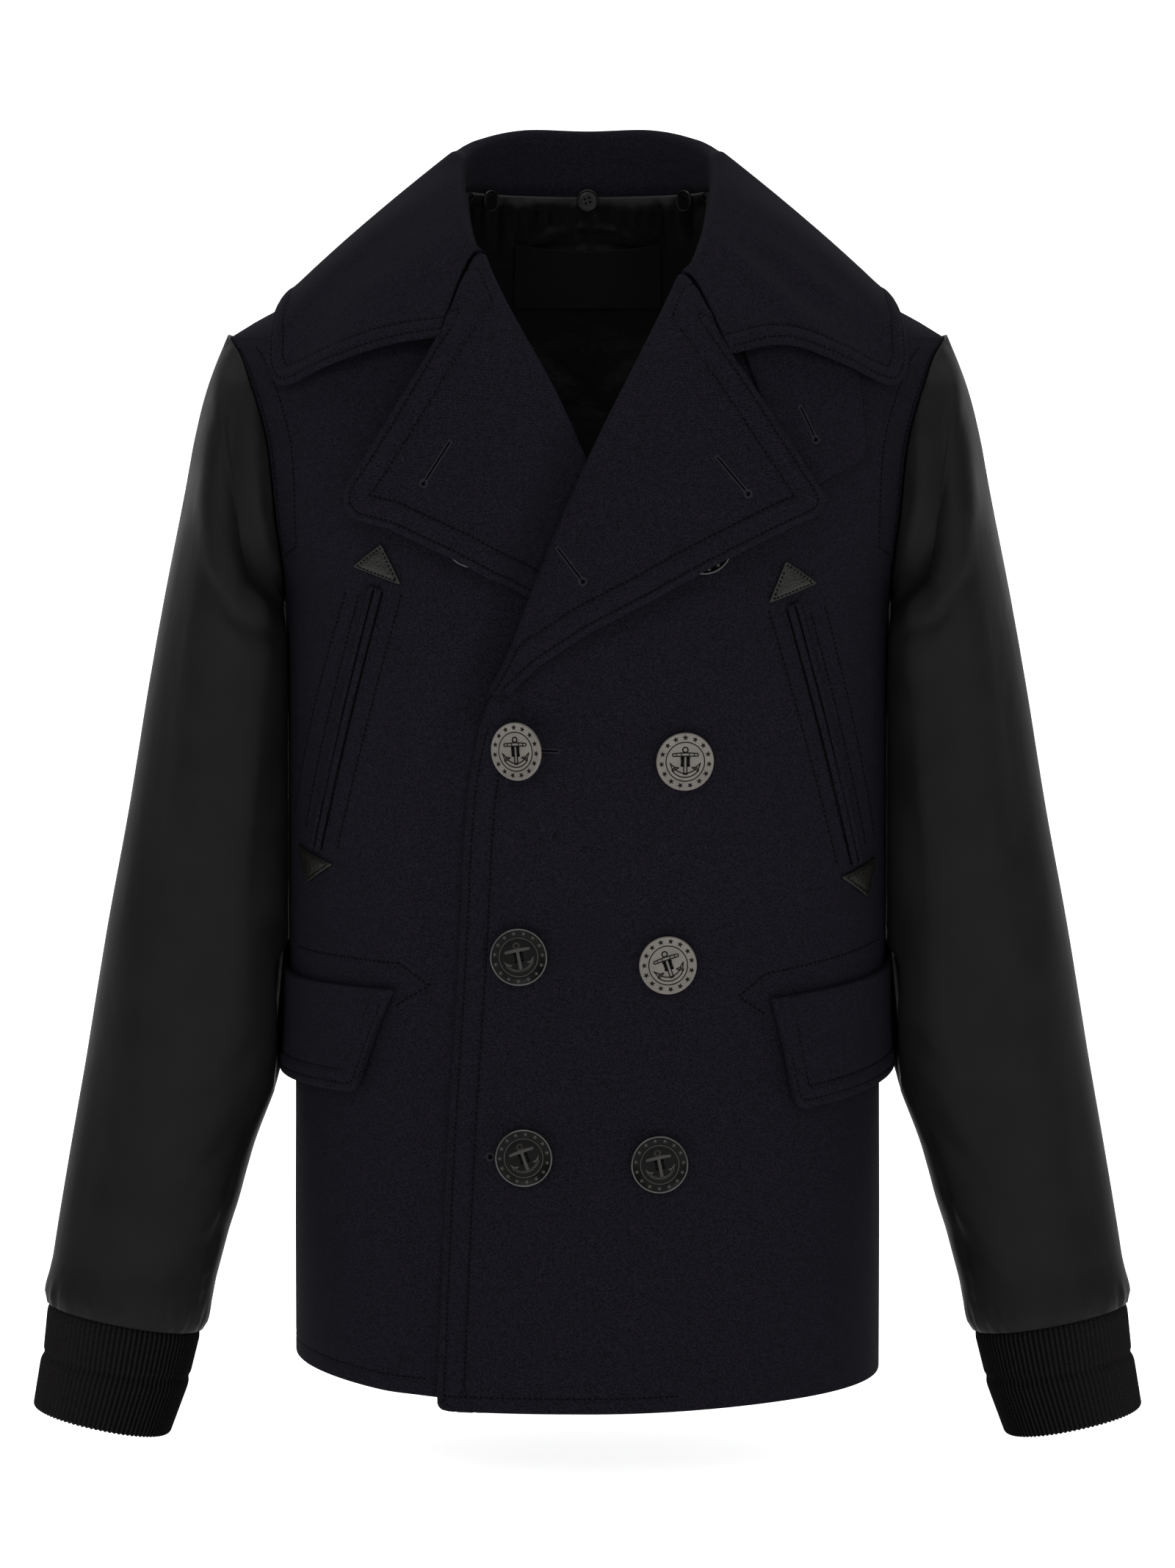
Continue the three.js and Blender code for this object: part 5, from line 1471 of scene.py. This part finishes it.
def buttonhole(on, start, end, eye=True, eye_only=False):
    """A slit with an eye at its end, edged with close stitches."""
    points, ups = on_line(on, start, end)
    along = unit(points[-1] - points[0])
    length = np.linalg.norm(points[-1] - points[0])
    side = unit(np.cross(along, ups.mean(0)))
    stop, pitch = length - (2.0 if eye else 0), 0.8
    count = 0 if eye_only else int(stop / pitch)
    for k in range(count + 1):
        t = (0.3 + k * pitch) / length
        j = min(int(t * 29), 29)
        middle = points[0] + along * t * length
        middle = middle + ups[j] * ((points[j] - middle) @ ups[j])
        for s in (-1, 1):
            bead("silk", middle + side * s * 0.95, side, ups[j], 1.1, 0.72, 0.4, -0.1)
    if not eye_only:
        for k in (-1, 0, 1):
            bead("silk", points[0] + side * k * 0.8, along, ups[0], 1.6, 0.7, 0.5, -0.05)
        # The slit's outline, for a plate of painted shade.
        SHADE_OUTLINES.append([(p + side * s * 0.5, u) for s, row in ((-1, range(0, 28)), (1, range(27, -1, -1)))
                      for p, u in ((points[j], ups[j]) for j in row)])
    if eye:
        centre, up = points[-1] - along * 1.2, ups[-1]
        for a in np.radians(np.arange(0, 360, 24)):
            ray = along * math.cos(a) + side * math.sin(a)
            bead("silk", centre + ray * 2.2, ray, up, 1.7, 0.75, 0.5, -0.05)
        # The eye's outline, for a plate of painted shade.
        SHADE_OUTLINES.append([(centre + (along * math.cos(a) + side * math.sin(a)) * 1.35, up)
                      for a in np.radians(np.arange(0, 360, 20))])


def make_shade_plates():
    """Painted shade in the slits and holes, as thin closed dark plates."""
    points, faces = [], []
    for outline in SHADE_OUTLINES:
        base, m = len(points), len(outline)
        for height in (-0.2, 0.12):
            points += [p + u * height for p, u in outline]
        faces += [(base + k, base + (k + 1) % m, base + m + (k + 1) % m, base + m + k) for k in range(m)]
        faces.append(tuple(base + m + k for k in range(m)))
        faces.append(tuple(base + k for k in range(m))[::-1])
    obj = mesh_object("coat_slit_shade_plates", np.array(points), faces, SLIT_SHADE)
    fix_normals(obj)
    return obj


on_lapel_over, on_lapel_under = surface(LAPEL_OVER), surface(LAPEL_UNDER)
on_front, on_tab = surface(FRONT_OVER), surface(TAB_PIECE)
buttonhole(on_lapel_under, (-82, -155), (-99, -181))
buttonhole(on_lapel_over, (77, -164), (97, -187))
buttonhole(on_lapel_over, (-18, -218), (-2, -239))
buttonhole(on_tab, (130, -134), (141, -155))
buttonhole(on_front, (-17, -340), (-40, -339), eye=False)
buttonhole(on_front, (-52, -585), (-60, -585), eye_only=True)


def on_body(line):
    """Stitches on the panels along a line in distance round the cloth and height."""
    along = run(line)
    across, z = along_line(line, along, np.arange(0, along[-1], 1.5)).T
    out = np.where(across < 0, -step_back(skin(angle_at_girth(across, z), z)[..., 0], z), 0) + 0.05
    stitch("wool", cloth(across, z, out), cloth_normal(across, z))


for line in (
        [(-208, -466), (-116, -470), (-98, -483), (-121, -497)],
        [(208, -462), (110, -476), (92, -489), (110, -501)]):
    on_body(line)
for side_sign in (-1, 1):
    z = np.linspace(-97, -226, 60)
    seam = side_sign * girth_at(angle_at_depth(side_depth(z, True), z), z)
    outer_row, inner_row = seam - side_sign * 5, seam - side_sign * 25
    keep = z > -221
    on_body(list(zip(outer_row, z)))
    on_body(list(zip(inner_row[keep], z[keep])) + [(outer_row[-1], z[-1])])

for grid, above, low_x, high_x in ((OVER_GRID, OVER_ABOVE, -88, 66), (UNDER_GRID, UNDER_ABOVE, -999, -96)):
    points, ups = iso_line(np.swapaxes(grid, 0, 1), above.T, STITCH_ROWS["hem"],
                           np.swapaxes(grid_out(grid), 0, 1))
    keep = (points[:, 0] > low_x) & (points[:, 0] < high_x)
    stitch("wool", points[keep], ups[keep])

# Plates of painted shade: one in the slit between the lips, and a painted shadow line beside the outer edge
# of each lip.
for pocket in POCKETS:
    start, end = np.array(pocket["start"], float), np.array(pocket["end"], float)
    direction = unit(end - start)
    across = np.array([-direction[1], direction[0]])
    for offset, half_width, height in ((0, 0.7, LAY + 1.2), (-5.2, 0.5, 0.35), (5.2, 0.5, 0.35)):
        t = np.linspace(0.005, 0.995, 50)[:, None]
        line = start + (end - start) * t + across * offset
        edges = np.concatenate([line - across * half_width, (line + across * half_width)[::-1]])
        w, h = pocket["side"] * edges[:, 0], edges[:, 1]
        back = np.where(w < 0, -step_back(skin(angle_at_girth(w, h), h)[..., 0], h), 0)
        SHADE_OUTLINES.append(list(zip(cloth(w, h, height + back), cloth_normal(w, h))))

SHADE_PLATE_PIECE = make_shade_plates()
STITCH_SILK = make_stitches("silk", "coat_buttonhole_stitches", SILK_THREAD)
STITCH_WOOL = make_stitches("wool", "coat_topstitching", SHADED_NAVY_THREAD)
STITCH_LEATHER = make_stitches("leather", "coat_leather_stitching", BLACK_THREAD)


# Each piece hides the solid it stands in for

def stands(obj, node, slot):
    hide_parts(node)


for obj, node in (
        (FRONT_OVER, "front_over"), (FRONT_UNDER, "front_under"), (BACK, "back"), (LAPEL_OVER, "lapel_over"),
        (LAPEL_UNDER, "lapel_under"), (COLLAR, "collar"), (TAB_PIECE, "throat_tab")):
    stands(obj, node, "wool")
for end, (obj, _, _) in zip(("right", "left"), FLAP_PIECES):
    stands(obj, f"hip_flap_{end}", "wool")
for obj, node, slot in POCKET_PIECES:
    stands(obj, node, slot)
for end in ("left", "right"):
    stands(SLEEVES[end], f"sleeve_{end}", "satin")
    stands(CUFFS[end], f"cuff_{end}", "knit")
for pieces, slot in ((BUTTON_PIECES, "button"), (NECK_PIECES, "neck_button")):
    for obj, node in pieces:
        stands(obj, node, slot)
stands(LINING_PIECE, "lining", "quilted_lining")
stands(LABEL_PIECE, "label", "label_tape")

# Floor, light and camera

def stage_material():
    n = Nodes("pale_floor", 0.9)
    n.set("Base Color", n.mix(n.noise(n.place(1), 3.0), colour("#f2f2f2"), colour("#f6f6f6")))
    n.shader.inputs["Emission Color"].default_value = (1, 1, 1, 1)
    n.shader.inputs["Emission Strength"].default_value = 0.8
    return n.material


def sweep():
    """A floor that curves up into a backdrop."""
    floor, bend, radius = -0.79, 4.2, 1.2
    turns = np.radians(np.arange(6, 91, 6))
    path = [(-8.0, floor), (bend, floor)]
    path += [(bend + radius * math.sin(a), floor + radius * (1 - math.cos(a))) for a in turns]
    path += [(bend + radius, 8.0)]
    points = [(x, y, z) for y, z in path for x in (-10.0, 10.0)]
    faces = [(2 * k, 2 * k + 1, 2 * k + 3, 2 * k + 2) for k in range(len(path) - 1)]
    mesh = bpy.data.meshes.new("studio_sweep")
    mesh.from_pydata(points, [], faces)
    mesh.materials.append(stage_material())
    mesh.polygons.foreach_set("use_smooth", [True] * len(faces))
    obj = bpy.data.objects.new("studio_sweep", mesh)
    bpy.context.collection.objects.link(obj)


def area_light(name, place, target, size, power):
    data = bpy.data.lights.new(name, "AREA")
    data.shape, data.size, data.size_y, data.energy = "RECTANGLE", size[0], size[1], power
    obj = bpy.data.objects.new(name, data)
    obj.location = place
    obj.rotation_euler = (Vector(target) - Vector(place)).to_track_quat("-Z", "Y").to_euler()
    bpy.context.collection.objects.link(obj)


sweep()
for light in (
        ("key", (-0.9, -2.8, 1.5), (0, 0, -0.3), (1.6, 1.6), 35),
        ("fill", (1.1, -2.8, 0.8), (0, 0, -0.35), (1.6, 2.0), 19),
        ("top", (0, 0.2, 2.4), (0, 0, -0.3), (3.2, 1.4), 52),
        ("low", (0, -2.4, -0.4), (0, 0, -0.4), (2.4, 0.8), 3)):
    area_light(*light)

world = bpy.data.worlds.new("studio")
bpy.context.scene.world = world
world.use_nodes = True
sky = world.node_tree.nodes["Background"].inputs
sky["Color"].default_value, sky["Strength"].default_value = (1, 1, 1, 1), 0.2

CAMERA = dict(distance=3.0, elevation=4.0, looks_at=(0, 0, -0.369), lens=109.92, sensor=36.0)
camera_data = bpy.data.cameras.new("camera")
camera_data.lens, camera_data.sensor_width = CAMERA["lens"], CAMERA["sensor"]
camera = bpy.data.objects.new("camera", camera_data)
target = Vector(CAMERA["looks_at"])
elevation = math.radians(CAMERA["elevation"])
camera.location = target + Vector((0, -math.cos(elevation), math.sin(elevation))) * CAMERA["distance"]
camera.rotation_euler = (target - camera.location).to_track_quat("-Z", "Y").to_euler()
bpy.context.collection.objects.link(camera)
bpy.context.scene.camera = camera
bpy.context.scene.view_settings.view_transform = "Standard"
